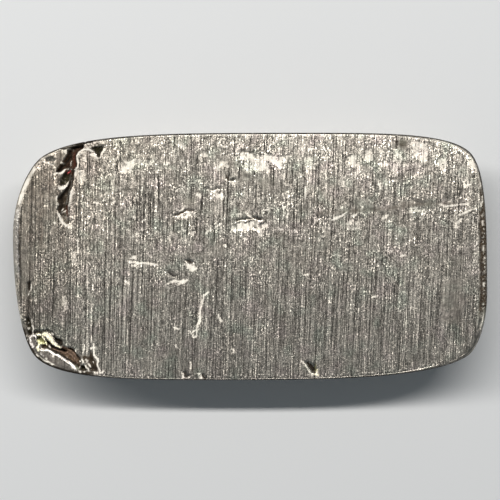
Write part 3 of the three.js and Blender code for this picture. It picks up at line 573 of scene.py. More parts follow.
def section():
    """The body's section as (inset, roll, z) rows: those of the rim, then those down to the base."""
    widest = HEIGHT - ROLL_DROP
    tangent = BASE_EDGE_RADIUS * (1 - math.sin(DRAFT))
    centre = math.tan(DRAFT) * (widest - tangent) + BASE_EDGE_RADIUS * math.cos(DRAFT)
    rim = [(inset, 1.0, HEIGHT) for inset in RIM_INSETS]
    for turn in np.linspace(math.pi / 2, 0, RIM_ROWS):
        rim.append((0.0, 1 - math.cos(turn), widest + ROLL_DROP * math.sin(turn)))
    wall = []
    for t in np.linspace(0, 1, WALL_ROWS + 1)[1:]:
        z = widest + (tangent - widest) * t**WALL_CROWDING
        wall.append((math.tan(DRAFT) * (widest - z), 0.0, z))
    for turn in np.linspace(DRAFT, math.pi / 2, BASE_EDGE_ROWS + 1)[1:]:
        inset = centre - BASE_EDGE_RADIUS * math.cos(turn)
        wall.append((inset, 0.0, BASE_EDGE_RADIUS * (1 - math.sin(turn))))
    return rim, wall


def outward(rows):
    """The way out at each point of rows of rings, rows going down and rings counterclockwise."""
    around = np.roll(rows, -1, 1) - np.roll(rows, 1, 1)
    down = np.gradient(rows, axis=0)
    way = np.cross(down, around)
    return way / np.linalg.norm(way, axis=2, keepdims=True)


def face_grid(edge):
    """A grid over the wide face inside its edge ring: a Coons patch. Rows go from the lower side up."""
    a, b = CELLS_ALONG, CELLS_ACROSS
    closed = np.vstack([edge, edge[:1]])[:, :2]
    upper = closed[: a + 1][::-1]
    left = closed[a : a + b + 1][::-1]
    lower = closed[a + b : 2 * a + b + 1]
    right = closed[2 * a + b :]
    u = np.linspace(0, 1, a + 1)[None, :, None]
    v = np.linspace(0, 1, b + 1)[:, None, None]
    sides = (1 - u) * left[:, None] + u * right[:, None]
    ends = (1 - v) * lower[None] + v * upper[None]
    from_lower = (1 - u) * lower[0] + u * lower[-1]
    from_upper = (1 - u) * upper[0] + u * upper[-1]
    return sides + ends - (1 - v) * from_lower - v * from_upper


# ---- The flaws' relief and stains ----

WANDER, FRAY = 0.07, 0.04  # how far coarse and fine noise shift the edges of the flaws
LINE_MARGIN = 0.04  # that a line's edge fades over, outside its half width
FLECK_RISE, FLECK_GLINT = 0.2, 0.95
PEBBLES = ((0.05, 1.4, 5, 3), (0.025, 0.5, 6, 2))  # height, cell, seed and octaves of the cast skin's noise
PEBBLES_DOWN, LIGHT_TOUCH = 0.06, 0.03  # how far they lie below the wheel, and how much less at most
PITS_DEEP, FLOW_DEEP, WAVES_DEEP = 0.05, 0.05, 0.12  # of the wall's and the base's cast skin
RIM_REACH = 5.5  # how far in the marks of the rim may lie
RIM_STEPS = 12  # of the rim's outline, between a crown and a corner


def placed(points):
    """Points read from the photograph, with any half widths, as millimetres on the wide face."""
    middle_x, middle_y = BAR_IN_PICTURE
    return [
        ((x - middle_x) * FACE_PITCH, (middle_y - y) * FACE_PITCH, *(w * FACE_PITCH for w in widths))
        for x, y, *widths in points
    ]


def to_segment(start, end, x, y):
    """The share of a segment at which each place is nearest to it, and how far off the place is."""
    dx, dy = end[0] - start[0], end[1] - start[1]
    x, y = x - start[0], y - start[1]
    share = np.clip((x * dx + y * dy) / (dx * dx + dy * dy), 0, 1)
    return share, np.hypot(x - share * dx, y - share * dy)


def inside(points, x, y):
    """How far inside a closed outline each place is, negative outside it."""
    nearest, within = np.full(len(x), np.inf), np.zeros(len(x), bool)
    for p, q in zip(points, [*points[1:], points[0]]):
        nearest = np.minimum(nearest, to_segment(p, q, x, y)[1])
        if q[1] != p[1]:
            crossing = p[0] + (q[0] - p[0]) * (y - p[1]) / (q[1] - p[1])
            within ^= ((p[1] > y) != (q[1] > y)) & (x < crossing)
    return np.where(within, nearest, -nearest)


def on_line(line, x, y):
    """1 along the middle of a line that varies in width, falling to 0 at its edges."""
    closest = np.zeros(len(x))
    for p, q in zip(line, line[1:]):
        share, off = to_segment(p, q, x, y)
        width = p[2] + (q[2] - p[2]) * share + LINE_MARGIN
        closest = np.maximum(closest, 1 - off / width)
    return closest


def near(points, x, y, margin=0.6):
    """Which places may be reached by a flaw with these points."""
    xs, ys = [p[0] for p in points], [p[1] for p in points]
    beside = (x > min(xs) - margin) & (x < max(xs) + margin)
    return np.nonzero(beside & (y > min(ys) - margin) & (y < max(ys) + margin))


class Skin:
    """What is true at each place of the bar's surface: how deep it lies, how much painted highlight glints
    on it, what stains it.
    """

    def __init__(self, x, y):
        # The places are shifted a little by noise, so that no flaw has a smooth edge.
        self.x = x + WANDER * rough(x, y, 0.7, 41, 2) + FRAY * noise(x, y, 0.25, 45)
        self.y = y + WANDER * rough(x, y, 0.7, 43, 2) + FRAY * noise(x, y, 0.25, 47)
        self.depth, self.glint, self.cover, self.calm, self.bead_glints = (np.zeros(len(x)) for _ in range(5))
        self.stain_and_painted_light = np.zeros((len(x), 3))

    def reached(self, points):
        """A flaw's points in millimetres, and the places that they may reach, with their x and y."""
        points = placed(points)
        at = near(points, self.x, self.y)
        return points, at, self.x[at], self.y[at]

    def paint(self, at, colour, share):
        """Lays a stain, or a painted shade or highlight colour, over what is there already."""
        share = share[:, None]
        self.stain_and_painted_light[at] = self.stain_and_painted_light[at] * (1 - share) + np.array(STAINS[colour]) * share
        self.cover[at] = 1 - (1 - self.cover[at]) * (1 - share[:, 0])

    def shine(self, at, share):
        """Paints a highlight on places, as a glint, and takes off what stains them."""
        self.glint[at] = np.maximum(self.glint[at], share)
        self.cover[at] *= 1 - share

    def sink(self, at, depth):
        self.depth[at] = np.maximum(self.depth[at], depth)

    def hollow(self, depth, wall, uneven, way, stain_and_painted_light, points):
        """Sinks a closed outline, with a ragged floor whose streaks run at way degrees."""
        points, at, x, y = self.reached(points)
        far_in = inside(points, x, y)
        along, aside = turned(x, y, way)
        streaks = rough(along / 4, aside, 0.24, 54, 2)
        floor = depth + uneven * (2 * rough(x, y, 0.9, 51, 3) + 0.8 * rough(x, y, 0.35, 52, 2) + streaks)
        self.sink(at, floor * smoothstep(-0.04, wall, far_in))
        share = smoothstep(-0.05, 0.12, far_in)
        self.glint[at] *= 1 - share
        self.paint(at, stain_and_painted_light, share)
        mottle = 0.45 * rough(x, y, 0.45, 53, 2) + 0.6 * streaks
        self.stain_and_painted_light[at] *= 1 + (mottle * share)[:, None]
        # Bare flecks in the floor are painted highlights.
        bare_glint = 0.4 * smoothstep(0.48, 0.68, rough(x, y, 0.33, 55, 2)) * share
        self.glint[at] = np.maximum(self.glint[at] * (1 - bare_glint), 0.7 * bare_glint)
        self.cover[at] *= 1 - bare_glint

    def low_spot(self, depth, glint, points):
        """Sinks a closed outline a little and paints a glint on it, in ragged stripes."""
        points, at, x, y = self.reached(points)
        far_in = inside(points, x, y)
        self.sink(at, depth * smoothstep(-0.2, 0.5, far_in))
        ragged = 0.13 * noise(x, y / 2, 0.28, 61) + 0.10 * noise(x, y, 0.6, 62)
        broken = np.clip(0.75 + 0.75 * noise(x, y / 3, 0.3, 63), 0, 1)
        self.shine(at, glint * broken * smoothstep(-0.06, 0.12, far_in + ragged))

    def seam(self, rise, glint, stain_and_painted_light, line):
        """Raises a line, or sinks it where rise is negative, and gives it a painted glint or a stain."""
        line, at, x, y = self.reached(line)
        share = on_line(line, x, y)
        share = smoothstep(0.0, 0.6, share + 0.25 * noise(x, y, 0.22, 66) * (share > 0))
        self.depth[at] = np.clip(self.depth[at] - rise * share, 0, None)
        broken = np.clip(1.0 + 0.4 * noise(x, y, 0.45, 64), 0, 1)
        self.glint[at] = self.glint[at] * (1 - share) + glint * broken * share
        if stain_and_painted_light:
            self.paint(at, stain_and_painted_light, share)
        else:
            self.cover[at] *= 1 - share

    def fleck(self, x, y, end_x, end_y, half):
        """A short bare line with a painted glint."""
        self.seam(FLECK_RISE, FLECK_GLINT, "", [(x, y, half), (end_x, end_y, half)])

    def veil(self, stain_and_painted_light, share, patchy, points):
        """Stains a closed outline lightly, with soft edges, in patches."""
        points, at, x, y = self.reached(points)
        share = share * np.clip(1 + patchy * (1.8 * rough(x, y, 0.5, 65, 2) - 0.3), 0, 1.2)
        within = np.clip(smoothstep(-0.1, 0.35, inside(points, x, y)) * share, 0, 1)
        self.paint(at, stain_and_painted_light, within)
        self.calm[at] = np.maximum(self.calm[at], within)


class Rim:
    """The places of a skin beside the outline. Every length here is in millimetres."""

    def __init__(self, skin):
        beside = (np.abs(skin.x) > HALF_LENGTH - RIM_REACH) | (np.abs(skin.y) > HALF_WIDTH - RIM_REACH)
        self.skin, self.at = skin, np.nonzero(beside)
        self.x, self.y = skin.x[self.at], skin.y[self.at]
        self.far_in = inside([tuple(p) for p in outline(RIM_STEPS)[0]], self.x, self.y)
        self.broken = 0.6 + 0.4 * noise(self.x, self.y, 0.8, 72)

    def along(self, low, high, soft=1.5):
        """1 where y is from low to high."""
        return between(low, high, soft, self.y)

    def mark(self, kind, share, low, high, soft=0.08):
        """Paints a highlight, beads of painted glint, a stain or painted shade on the band from low to high
        in from the outline.
        """
        share = share * between(low, high, soft, self.far_in)
        if kind == "shine":
            self.skin.shine(self.at, share)
        elif kind == "bead_glints":
            self.skin.bead_glints[self.at] += share
        else:
            self.skin.paint(self.at, kind, share)


def towards(half, place, start, full):
    """How near places are to an end or a side, half from the middle: 0 at start in from it, 1 at full."""
    return smoothstep(half - start, half - full, place)


def right_rim(rim):
    """A dark, mottled band of painted shade, where the rolled end sees the dim room, with beads and grains
    of painted glint inside it, a short painted highlight low on it, and a dark outline.
    """
    mark, along = rim.mark, rim.along
    end = towards(HALF_LENGTH, rim.x, 4.5, 2.0)
    dark = end * along(-9.5, 12.0)
    mark("umber", dark, 0.12, 1.35 - 0.6 * smoothstep(5, 9, rim.y))
    rim.skin.stain_and_painted_light[rim.at] *= 1 + (0.7 * rough(rim.x, rim.y, 0.42, 73, 2) * dark)[:, None]
    mark("dusk", dark * 0.3, 1.1, 1.9, 0.2)
    mark("bead_glints", end * along(-11.0, 13.0) * 0.65, 0.22, 0.8)
    mark("bead_glints", end * along(-11.0, 13.0) * 0.7, 1.4, 2.4, 0.2)
    mark("bead_glints", end * along(4.0, 12.0) * 0.6, 2.4, 4.2, 0.3)
    mark("shine", end * along(-12.0, -8.5, 0.8) * 0.8, 0.35, 0.6)
    mark("slate", end * along(-14.0, 15.0) * 0.8, -0.5, 0.14, 0.05)


def left_rim(rim):
    """A bright band of painted highlight, then a frosty one with a dark edge, then a thin bright line of
    painted highlight.
    """
    mark, along = rim.mark, rim.along
    bright = towards(HALF_LENGTH, -rim.x, 6.5, 4.5) * along(6.5, 16.5)
    mark("shine", bright * smoothstep(0.3, 0.55, rim.broken), 0.2, 0.75)
    end = towards(HALF_LENGTH, -rim.x, 4.5, 2.0)
    mark("frost", end * along(-3.5, 8.0) * 0.55, -0.2, 1.0)
    mark("bead_glints", end * along(-3.5, 7.0) * 0.6, 0.0, 0.9)
    mark("bead_glints", end * along(5.0, 17.0) * 0.8, 0.1, 0.8)
    mark("soot", end * along(-3.5, 4.0), 0.95, 1.25)
    mark("dusk", end * along(-14.0, 12.0) * 0.35, 1.2, 2.4, 0.5)
    mark("shine", end * along(-12.0, -3.0, 1.0) * rim.broken, 0.06, 0.3)


def upper_rim(rim):
    """A dark outline with a bright line of painted highlight inside it, which is faint at the left."""
    side = towards(HALF_WIDTH, rim.y, 10.8, 6.8)
    rim.mark("soot", side, -0.5, 0.20, 0.05)
    rim.mark("frost", side * 0.2, 0.2, 0.5)
    bright = 0.15 + 0.2 * smoothstep(-14, -8, rim.x) + 0.2 * smoothstep(16, 20, rim.x)
    rim.mark("shine", side * bright, 0.27, 0.48, 0.07)


def lower_rim(rim):
    """A dark outline of painted shade, where the rim turns away from the lamp, with a frosty band and beads
    of painted glint inside it.
    """
    side, rest = towards(HALF_WIDTH, -rim.y, 5.8, 2.8), 1 - lower_left(rim)
    rim.mark("frost", side * rest * 0.25, 0.1, 0.95, 0.2)
    rim.mark("bead_glints", side * rest * 0.4, 0.15, 1.0, 0.15)
    rim.mark("soot", side, -0.5, 0.17, 0.05)


def lower_left(rim):
    return towards(HALF_LENGTH, -rim.x, 15.0, 12.0) * towards(HALF_WIDTH, -rim.y, 9.8, 7.8)


def corner_rim(rim):
    """Round the lower left corner: a wider dark outline, with bright bits of painted highlight inside it.
    """
    corner, bits = lower_left(rim), smoothstep(0.45, 0.75, rim.broken)
    rim.mark("soot", corner, -0.5, 0.50, 0.06)
    rim.mark("slate", corner * smoothstep(-31.5, -30.0, rim.x) * 0.6, 0.4, 0.85, 0.15)
    middle = between(-34.2, -30.6, 0.5, rim.x)
    rim.mark("shine", corner * middle * (0.3 + 0.7 * bits), 0.42, 0.66, 0.06)
    rim.mark("shine", corner * smoothstep(-31.0, -30.0, rim.x) * bits * 0.45, 0.42, 0.60, 0.06)


def dress(x, y):
    """The flaws of the wide face and its rim."""
    skin = Skin(x, y)
    for spec in VEILS.values():
        skin.veil(*spec)
    rim = Rim(skin)
    for dress_part in (right_rim, left_rim, upper_rim, lower_rim, corner_rim):
        dress_part(rim)
    for flaw, specs in ((skin.hollow, HOLLOWS), (skin.low_spot, LOW_SPOTS), (skin.seam, SEAMS)):
        for spec in specs.values():
            flaw(*spec)
    for flecks in FLECKS.values():
        for fleck in flecks:
            skin.fleck(*fleck)
    # The wheel bore least on the upper side and on the right end, so the cast skin shows more there.
    light = smoothstep(0, 20, y) * 0.7 + smoothstep(24, 38, x) * 0.6 + 0.4 * noise(x, y, 9.0, 8)
    pebbles = sum(height * rough(x, y, *kind) for height, *kind in PEBBLES)
    missed = np.clip(LIGHT_TOUCH * light - PEBBLES_DOWN + pebbles, 0, None)
    waves = 0.010 * noise(x, y, 9.0, 3) + 0.006 * noise(x, y, 4.0, 4)
    skin.depth += missed + 0.5 * np.clip(waves + 0.01, 0, None)
    skin.missed = smoothstep(0.003, 0.03, missed)
    return skin


def cast_skin(points):
    """How far the cast skin of the wall and base lies inside the smooth body."""
    x, y, z = points.T
    pits = 0.5 + 0.5 * rough(x + 0.7 * z, y - 0.6 * z, 1.3, 31)
    flow = 0.5 + 0.5 * noise(x * 0.35 + y * 0.35, z * 1.6 + 0.3 * x, 1.4, 33)
    waves = 0.5 + 0.5 * noise(x, y + z, 9.0, 35)
    return PITS_DEEP * pits + FLOW_DEEP * flow + WAVES_DEEP * waves


# ---- The mesh ----


def linked(name, data):
    """A new object in the scene."""
    thing = bpy.data.objects.new(name, data)
    bpy.context.scene.collection.objects.link(thing)
    return thing


def face_part(edge):
    """The wide face inside its edge ring: its points, its skin, its faces, and its edge's indices."""
    grid = face_grid(edge)
    flat = grid.reshape(-1, 2)
    skin = dress(flat[:, 0], flat[:, 1])
    skin.linished = np.ones(len(flat))
    index = np.arange(len(flat)).reshape(grid.shape[:2])
    faces = np.stack([index[:-1, :-1], index[:-1, 1:], index[1:, 1:], index[1:, :-1]], 2).reshape(-1, 4)
    around = np.concatenate([index[-1, ::-1][:-1], index[::-1, 0][:-1], index[0, :-1], index[:-1, -1]])
    return np.column_stack([flat, HEIGHT - skin.depth]), skin, faces.tolist(), around


def rim_part(rings):
    """The rings of the rim between the wide face's edge and the wall: their points and their skin."""
    out = outward(rings)[1:-1].reshape(-1, 3)
    points = rings[1:-1].reshape(-1, 3)
    skin = dress(points[:, 0], points[:, 1])
    skin.linished = smoothstep(0.90, 0.99, out[:, 2])
    down = smoothstep(0.5, 2.5, HEIGHT - points[:, 2])
    return points - out * (skin.depth + cast_skin(points) * down)[:, None], skin


def wall_part(rings):
    """The points of the wall and of the base edge, whose last ring lies flat on the table."""
    points = rings[1:].reshape(-1, 3)
    points = points - outward(rings)[1:].reshape(-1, 3) * cast_skin(points)[:, None]
    points[:, 2] = np.maximum(points[:, 2], 0.0)
    points[-rings.shape[1] :, 2] = 0.0
    return points


def rungs(upper, lower):
    """Quads between two rings of as many points each, the upper one nearer the wide face."""
    return np.column_stack([upper, lower, np.roll(lower, -1), np.roll(upper, -1)]).tolist()


def stitches(fine, coarse):
    """Triangles between a ring and the next, which has half as many points."""
    a, b, c = fine[::2], fine[1::2], np.roll(fine[::2], -1)
    low, low_next = coarse, np.roll(coarse, -1)
    threes = (a, low, b), (b, low, low_next), (b, low_next, c)
    return [face for three in threes for face in np.column_stack(three).tolist()]


def bar_shape():
    """The bar's points and faces, and the skins of the wide face and the rim."""
    loop = stations()
    half, quarter = loop[::2], loop[::4]
    rim, wall = section()
    rings = lambda line, rows: np.stack([ring(line, *row) for row in rows])
    rim_rings = rings(loop, [*rim, wall[0]])
    face_points, face_skin, faces, edge = face_part(rim_rings[0])
    rim_points, rim_skin = rim_part(rim_rings)
    last = ring(quarter, *wall[-1])
    base = np.concatenate([last * (s, s, 1) for s in BASE_RINGS] + [[[0.0, 0.0, 0.0]]])
    blocks = [face_points, rim_points, wall_part(rings(half, [rim[-1], *wall])), base]
    starts = np.cumsum([0] + [len(block) for block in blocks])
    middle = starts[-1] - 1
    indices = (
        [edge, *np.arange(starts[1], starts[2]).reshape(-1, len(loop))],
        np.arange(starts[2], starts[3]).reshape(-1, len(half)),
        np.arange(starts[3], middle).reshape(-1, len(quarter)),
    )
    for k, part in enumerate(indices):
        if k:
            faces += stitches(indices[k - 1][-1], part[0])
        for upper, lower in zip(part, part[1:]):
            faces += rungs(upper, lower)
    innermost = indices[-1][-1]
    centre = np.full(len(innermost), middle)
    faces += np.column_stack([innermost, centre, np.roll(innermost, -1)]).tolist()
    return np.concatenate(blocks), faces, (face_skin, rim_skin)


# What the mesh tells the material of each point: how far the wheel dressed it and where it missed, how much
# painted highlight glints on it, how much a stain or painted shade covers it, where a veil calms the marks,
# and where beads of painted glint may stand.
MASKS = ("linished", "missed", "glint", "cover", "calm", "bead_glints")


def make_bar():
    points, faces, skins = bar_shape()
    mesh = bpy.data.meshes.new("ingot_metal")
    mesh.from_pydata((points * MM).tolist(), [], faces)
    mesh.polygons.foreach_set("use_smooth", [True] * len(mesh.polygons))
    under = len(points) - sum(len(skin.x) for skin in skins)
    for name in MASKS:
        below = np.full(under, 1.0 if name == "missed" else 0.0)
        values = np.concatenate([*(getattr(skin, name) for skin in skins), below])
        mesh.attributes.new(name, "FLOAT", "POINT").data.foreach_set("value", values.astype(np.float32))
    stain_and_painted_light = np.concatenate([*(skin.stain_and_painted_light for skin in skins), np.zeros((under, 3))])
    stain_and_painted_light = np.column_stack([stain_and_painted_light, np.ones(len(stain_and_painted_light))])
    layer = mesh.attributes.new("stain_and_painted_light", "FLOAT_COLOR", "POINT")
    layer.data.foreach_set("color", stain_and_painted_light.astype(np.float32).ravel())
    mesh.update()
    bar = linked("ingot_metal", mesh)
    bar.data.materials.append(Silver().material())
    return bar


# ---- Materials ----

SPECULAR = 0.2  # of every material, on the socket that Blender calls Specular IOR Level


class Value:
    """An output of one of the nodes, with the arithmetic that other nodes do on it."""

    def __init__(self, nodes, socket):
        self.nodes, self.socket = nodes, socket

    def math(self, how, *others):
        return self.nodes.math(how, self, *others)

    def __add__(self, other):
        return self.math("ADD", other)

    def __sub__(self, other):
        return self.math("SUBTRACT", other)

    def __rsub__(self, other):
        return self.nodes.math("SUBTRACT", other, self)

    def __mul__(self, other):
        return self.math("MULTIPLY", other)

    def most(self, other):
        return self.math("MAXIMUM", other)

    def off_middle(self):
        """How far the value is from the middle of its whole number: 0 there and 1 at its ends."""
        return (self.math("FRACT") * 2 - 1).math("ABSOLUTE")

    def spread(self, low, high, to_low=0.0, to_high=1.0, kind="LINEAR"):
        """The value, read from low to high, as a number from to_low to to_high."""
        limits = {"From_Min": low, "From_Max": high, "To_Min": to_low, "To_Max": to_high}
        return self.nodes.value("ShaderNodeMapRange", {"interpolation_type": kind}, Value=self, **limits)


class Nodes:
    """The node tree of a material or a world, built by short calls."""

    def __init__(self, owner):
        owner.use_nodes = True
        self.owner, self.tree = owner, owner.node_tree
        self.tree.nodes.clear()

    def add(self, kind, settings=None, **inputs):
        """A new node. An input is named as its socket, or _ and the socket's number."""
        node = self.tree.nodes.new(kind)
        for key, value in (settings or {}).items():
            setattr(node, key, value)
        for key, value in inputs.items():
            socket = node.inputs[int(key[1:]) if key[0] == "_" else key.replace("_", " ")]
            if isinstance(value, Value):
                self.tree.links.new(value.socket, socket)
            else:
                socket.default_value = value
        return node

    def value(self, kind, settings=None, output=0, **inputs):
        return Value(self, self.add(kind, settings, **inputs).outputs[output])

    def math(self, how, *values):
        inputs = {f"_{k}": value for k, value in enumerate(values)}
        return self.value("ShaderNodeMath", {"operation": how}, **inputs)

    def mask(self, name, output="Fac"):
        return self.value("ShaderNodeAttribute", {"attribute_name": name}, output)

    def vector(self, how, a, b=(0, 0, 0)):
        return self.value("ShaderNodeVectorMath", {"operation": how}, _0=a, _1=b)

    def scaled(self, vector, scale):
        return self.value("ShaderNodeVectorMath", {"operation": "SCALE"}, Vector=vector, Scale=scale)

    def joined(self, **parts):
        return self.value("ShaderNodeCombineXYZ", **parts)

    def grain(self, vector, scale, detail=2.0, roughness=0.5):
        texture = {"Scale": scale, "Detail": detail, "Roughness": roughness}
        return self.value("ShaderNodeTexNoise", Vector=vector, **texture)

    def mix(self, share, a, b):
        return self.value("ShaderNodeMix", {"data_type": "FLOAT"}, _0=share, _2=a, _3=b)

    def blend(self, share, a, b):
        """A colour from a to b, either of which may be written as red, green and blue."""
        a, b = ((*colour, 1) if isinstance(colour, tuple) else colour for colour in (a, b))
        return self.value("ShaderNodeMix", {"data_type": "RGBA"}, 2, _0=share, _6=a, _7=b)

    def principled(self, **inputs):
        """Ends a material in one Principled shader."""
        shader = self.value("ShaderNodeBsdfPrincipled", Specular_IOR_Level=SPECULAR, **inputs)
        self.add("ShaderNodeOutputMaterial", Surface=shader)
        return self.owner


# The wheel's marks and the grit between them: how far the noise is stretched across the bar, or None where
# it isn't, its scale, detail and roughness, then how much it counts in the shine and in the tilt, at the
# lower and at the upper side. The long marks are strongest low on the face, and the blotches high on it.
MARKS = {
    "fine": (0.010, 6.0, 1, 0.5, (0.42, 0.27), (0.085, 0.055)),
    "streak": (0.03, 3.2, 2, 0.6, (0.13, 0.10), (0.048, 0.034)),
    "short streak": (0.16, 5.6, 1, 0.5, (0.2, 0.18), (0.07, 0.06)),
    "grit": (None, 5.5, 1, 0.5, (0.25, 0.28), (0.13, 0.11)),
    "blotch": (0.75, 1.3, 2, 0.6, (0.10, 0.36), (0.01, 0.05)),
}
MARKS_LOW, MARKS_HIGH = -12, 10  # the y where the lower and the upper weights are reached

# The straight scratches that the wheel left, each in a cell of its own: how much they lean, the width and
# length of a cell, their seed, the share of cells that have one, and its own share of its cell's width.
WHEEL_SCRATCHES = {
    "coarse": (0.01, 0.75, 7.0, 3, 0.38, 0.24),
    "long": (-0.012, 1.5, 15.0, 4, 0.5, 0.14),
    "short": (0.02, 0.5, 3.0, 5, 0.22, 0.36),
    "light": (0.015, 0.65, 5.5, 6, 0.34, 0.30),
}

METAL = {
    "dim": (0.76, 0.685, 0.58),
    "bright": (0.98, 0.90, 0.77),
    "green": (0.68, 0.74, 0.60),
    "pink": (0.86, 0.72, 0.66),
    "warm": (0.86, 0.73, 0.56),
    "left end shade": (0.05, 0.04, 0.03),
    "band": (0.24, 0.18, 0.14),
    "between marks": (0.11, 0.10, 0.085),
    "scratch": (0.045, 0.04, 0.033),
    "glint": (0.62, 0.59, 0.525),
    "cast": (0.20, 0.18, 0.15),
}
PEBBLE_HEIGHT, SCRATCH_HEIGHT = 0.16, -0.03  # in millimetres
DEEP_ROUGHNESS, BRIGHT_ROUGHNESS = 0.36, 0.29  # of the ground, where it is darkest and brightest
STAIN_ROUGHNESS, GLINT_ROUGHNESS = 0.7, 0.55
STAIN_METALLIC = 0.3


class Silver(Nodes):
    """The bar's metal, from the masks of its mesh. Places and lengths are in millimetres."""

    def __init__(self):
        super().__init__(bpy.data.materials.new("silver"))
        self.place = self.scaled(self.value("ShaderNodeTexCoord", output="Object"), 1 / MM)
        self.x, self.y = (self.value("ShaderNodeSeparateXYZ", output=k, Vector=self.place) for k in (0, 1))
        for name in MASKS:
            setattr(self, name, self.mask(name))
        # The wheel's marks run across the bar, lean to the right towards the upper side and bend a little.
        lean = self.y * self.x.spread(-HALF_LENGTH, HALF_LENGTH, -0.015, -0.055)
        self.across = self.x + lean + self.grain(self.place, 0.05, 1) * 0.4
        self.flat = self.joined(X=self.across, Y=self.y)
        self.marks = {name: self.mark(*spec[:4]).spread(0.3, 0.7) for name, spec in MARKS.items()}
        self.pebble = self.grain(self.place, 1.9, 3, 0.6)
        # Painted light: the upper side is made brightest from the middle to the right, in the colour and in
        # the flecks that glint.
        self.upper_painted_light = self.x.spread(-4, 8, -0.4, 0.8) * self.y.spread(8, 16)

    def mark(self, stretch, scale, detail=2.0, roughness=0.5):
        """Noise that follows the wheel's marks, or that is as fine every way where stretch is None."""
        where = self.place if stretch is None else self.vector("MULTIPLY", self.flat, (1, stretch, 1))
        return self.grain(where, scale, detail, roughness)

    def weighed(self, column):
        """The sum of the marks, each from its middle and by its weight in that column of MARKS."""
        parts = [
            (mark - 0.5) * self.y.spread(MARKS_LOW, MARKS_HIGH, *MARKS[name][column])
            for name, mark in self.marks.items()
        ]
        return sum(parts[1:], parts[0])

    def shine(self):
        """How bright the ground between the scratches is, from 0 to 1."""
        # Painted light: the ground is made brighter on the upper right and a little towards the lower side.
        shine = self.upper_painted_light * 0.075 + self.y.spread(-4, -9, 0.0, 0.02) + self.weighed(4)
        return self.mix(self.linished, self.pebble.spread(0.3, 0.7, 0.2, 0.9), shine.spread(-0.18, 0.18))

    def scratches(self, kind):
        """Straight scratches, each in a cell of its own: 1 in the middle of one and 0 between them."""
        lean, width, length, seed, share, narrow = WHEEL_SCRATCHES[kind]
        across = (self.across + self.y * lean) * (1 / width) + 31.7 * seed
        column = across.math("FLOOR")
        shift = self.value("ShaderNodeTexWhiteNoise", {"noise_dimensions": "1D"}, W=column)
        along = self.y * (1 / length) + shift * 9.0
        cell = self.joined(X=column, Y=along.math("FLOOR"))
        pick = self.value("ShaderNodeTexWhiteNoise", {"noise_dimensions": "2D"}, Vector=cell)
        profile = across.off_middle().spread(narrow, narrow * 0.35) * along.off_middle().spread(1, 0.6)
        return profile * pick.spread(1 - share, 1).math("POWER", 0.4)

    def long_scratch(self, top, foot):
        """One of the longest scratches: 1 along its middle, between two ends read from the photograph."""
        (top_x, top_y), (foot_x, foot_y) = placed((top, foot))
        slope = (top_x - foot_x) / (top_y - foot_y)
        aside = (self.x - self.y * slope + (slope * foot_y - foot_x)).math("ABSOLUTE")
        middle, half = (top_y + foot_y) / 2, (top_y - foot_y) / 2
        along = (self.y - middle).math("ABSOLUTE")
        return aside.spread(0.15, 0.05) * along.spread(half, half * 0.5)

    def light_up(self):
        """Adds painted highlights to what glints: flecks, beads and light scratches, and clears what covers
        the beads.
        """
        # Faint glints are broken up by fine stripes, and flecks of the cast skin glint by themselves.
        stripes = self.mark(0.45, 3.4, 1).spread(0.34, 0.52, 0.35, 1.0)
        glint = self.glint * self.mix(self.glint.spread(0.55, 0.85), stripes, 1.0)
        crowd = self.grain(self.place, 0.45).spread(0.52, 0.72, 0, 0.08) * self.y.spread(-5, 12)
        # Painted light adds glinting flecks on the upper right; more flecks stand at the left end.
        crowd += self.upper_painted_light * 0.018 + self.x.spread(-24, -34, 0, 0.02)
        self.flecks = self.mark(0.8, 1.9, 3, 0.7) + crowd
        fleck = self.flecks.spread(0.64, 0.72) * self.cover.spread(0, 1, 0.7, 0.2) * self.linished
        bead_glint = self.bead_glints * self.grain(self.place, 3.1, 2, 0.6).spread(0.56, 0.64)
        self.cover *= 1 - bead_glint
        # Where the cast skin shows, larger flecks of it glint as well.
        cast = self.mark(0.7, 0.8, 4, 0.72).spread(0.60, 0.70) * self.linished
        cast *= self.y.spread(-8, 10, 0, 0.45) * self.cover.spread(0, 1, 1, 0.1)
        scratch = self.scratches("light") * self.y.spread(8, -6, 0.10, 0.20)
        self.glint = glint.most(fleck).most(bead_glint).most(cast).most(scratch * self.linished)

    def dark_marks(self):
        """The dark scratches, in three sizes and the longest ones, and the dark flecks."""
        coarse, long, short = (self.scratches(kind) for kind in ("coarse", "long", "short"))
        dark = coarse.most(long).most(short * 0.75) * self.marks["short streak"].spread(0.1, 0.6, 0.6, 1.0)
        dark *= self.y.spread(-12, 6, 0.92, 1.0)
        dark = dark.most(self.flecks.spread(0.355, 0.31, 0.0, 0.85))
        for ends in SCRATCHES:
            dark = dark.most(self.long_scratch(*ends))
        return dark * self.linished

    def tarnished(self):
        """The colour of the metal: clouds, green and pink tarnish, and painted shade on the left end, where
        the face dips.
        """
        patch = self.grain(self.place, 0.4) * 0.6 + self.grain(self.place, 0.16, 3, 0.55) * 0.4
        tint = self.grain(self.vector("ADD", self.place, (31, 17, 5)), 0.3)
        bands = self.mark(0.05, 1.1, 3, 0.6).spread(0.50, 0.66) * self.x.spread(-20, -32, 0.12, 0.6)
        colour = self.blend(patch.spread(0.38, 0.62), METAL["dim"], METAL["bright"])
        # Warmer tarnish lies towards the left end, and cooler towards the lower side.
        for name, share in (
            ("green", tint.spread(0.54, 0.70, 0, 0.6)),
            ("pink", tint.spread(0.46, 0.30, 0, 0.6)),
            ("warm", (self.x + self.y * -0.6).spread(-20, -42, 0, 0.5)),
            # Painted shade darkens the left end, where the face dips.
            ("left end shade", self.x.spread(-27, -34, 0, 0.33) * self.linished),
            ("band", bands * self.linished),
        ):
            colour = self.blend(share, colour, METAL[name])
        return colour

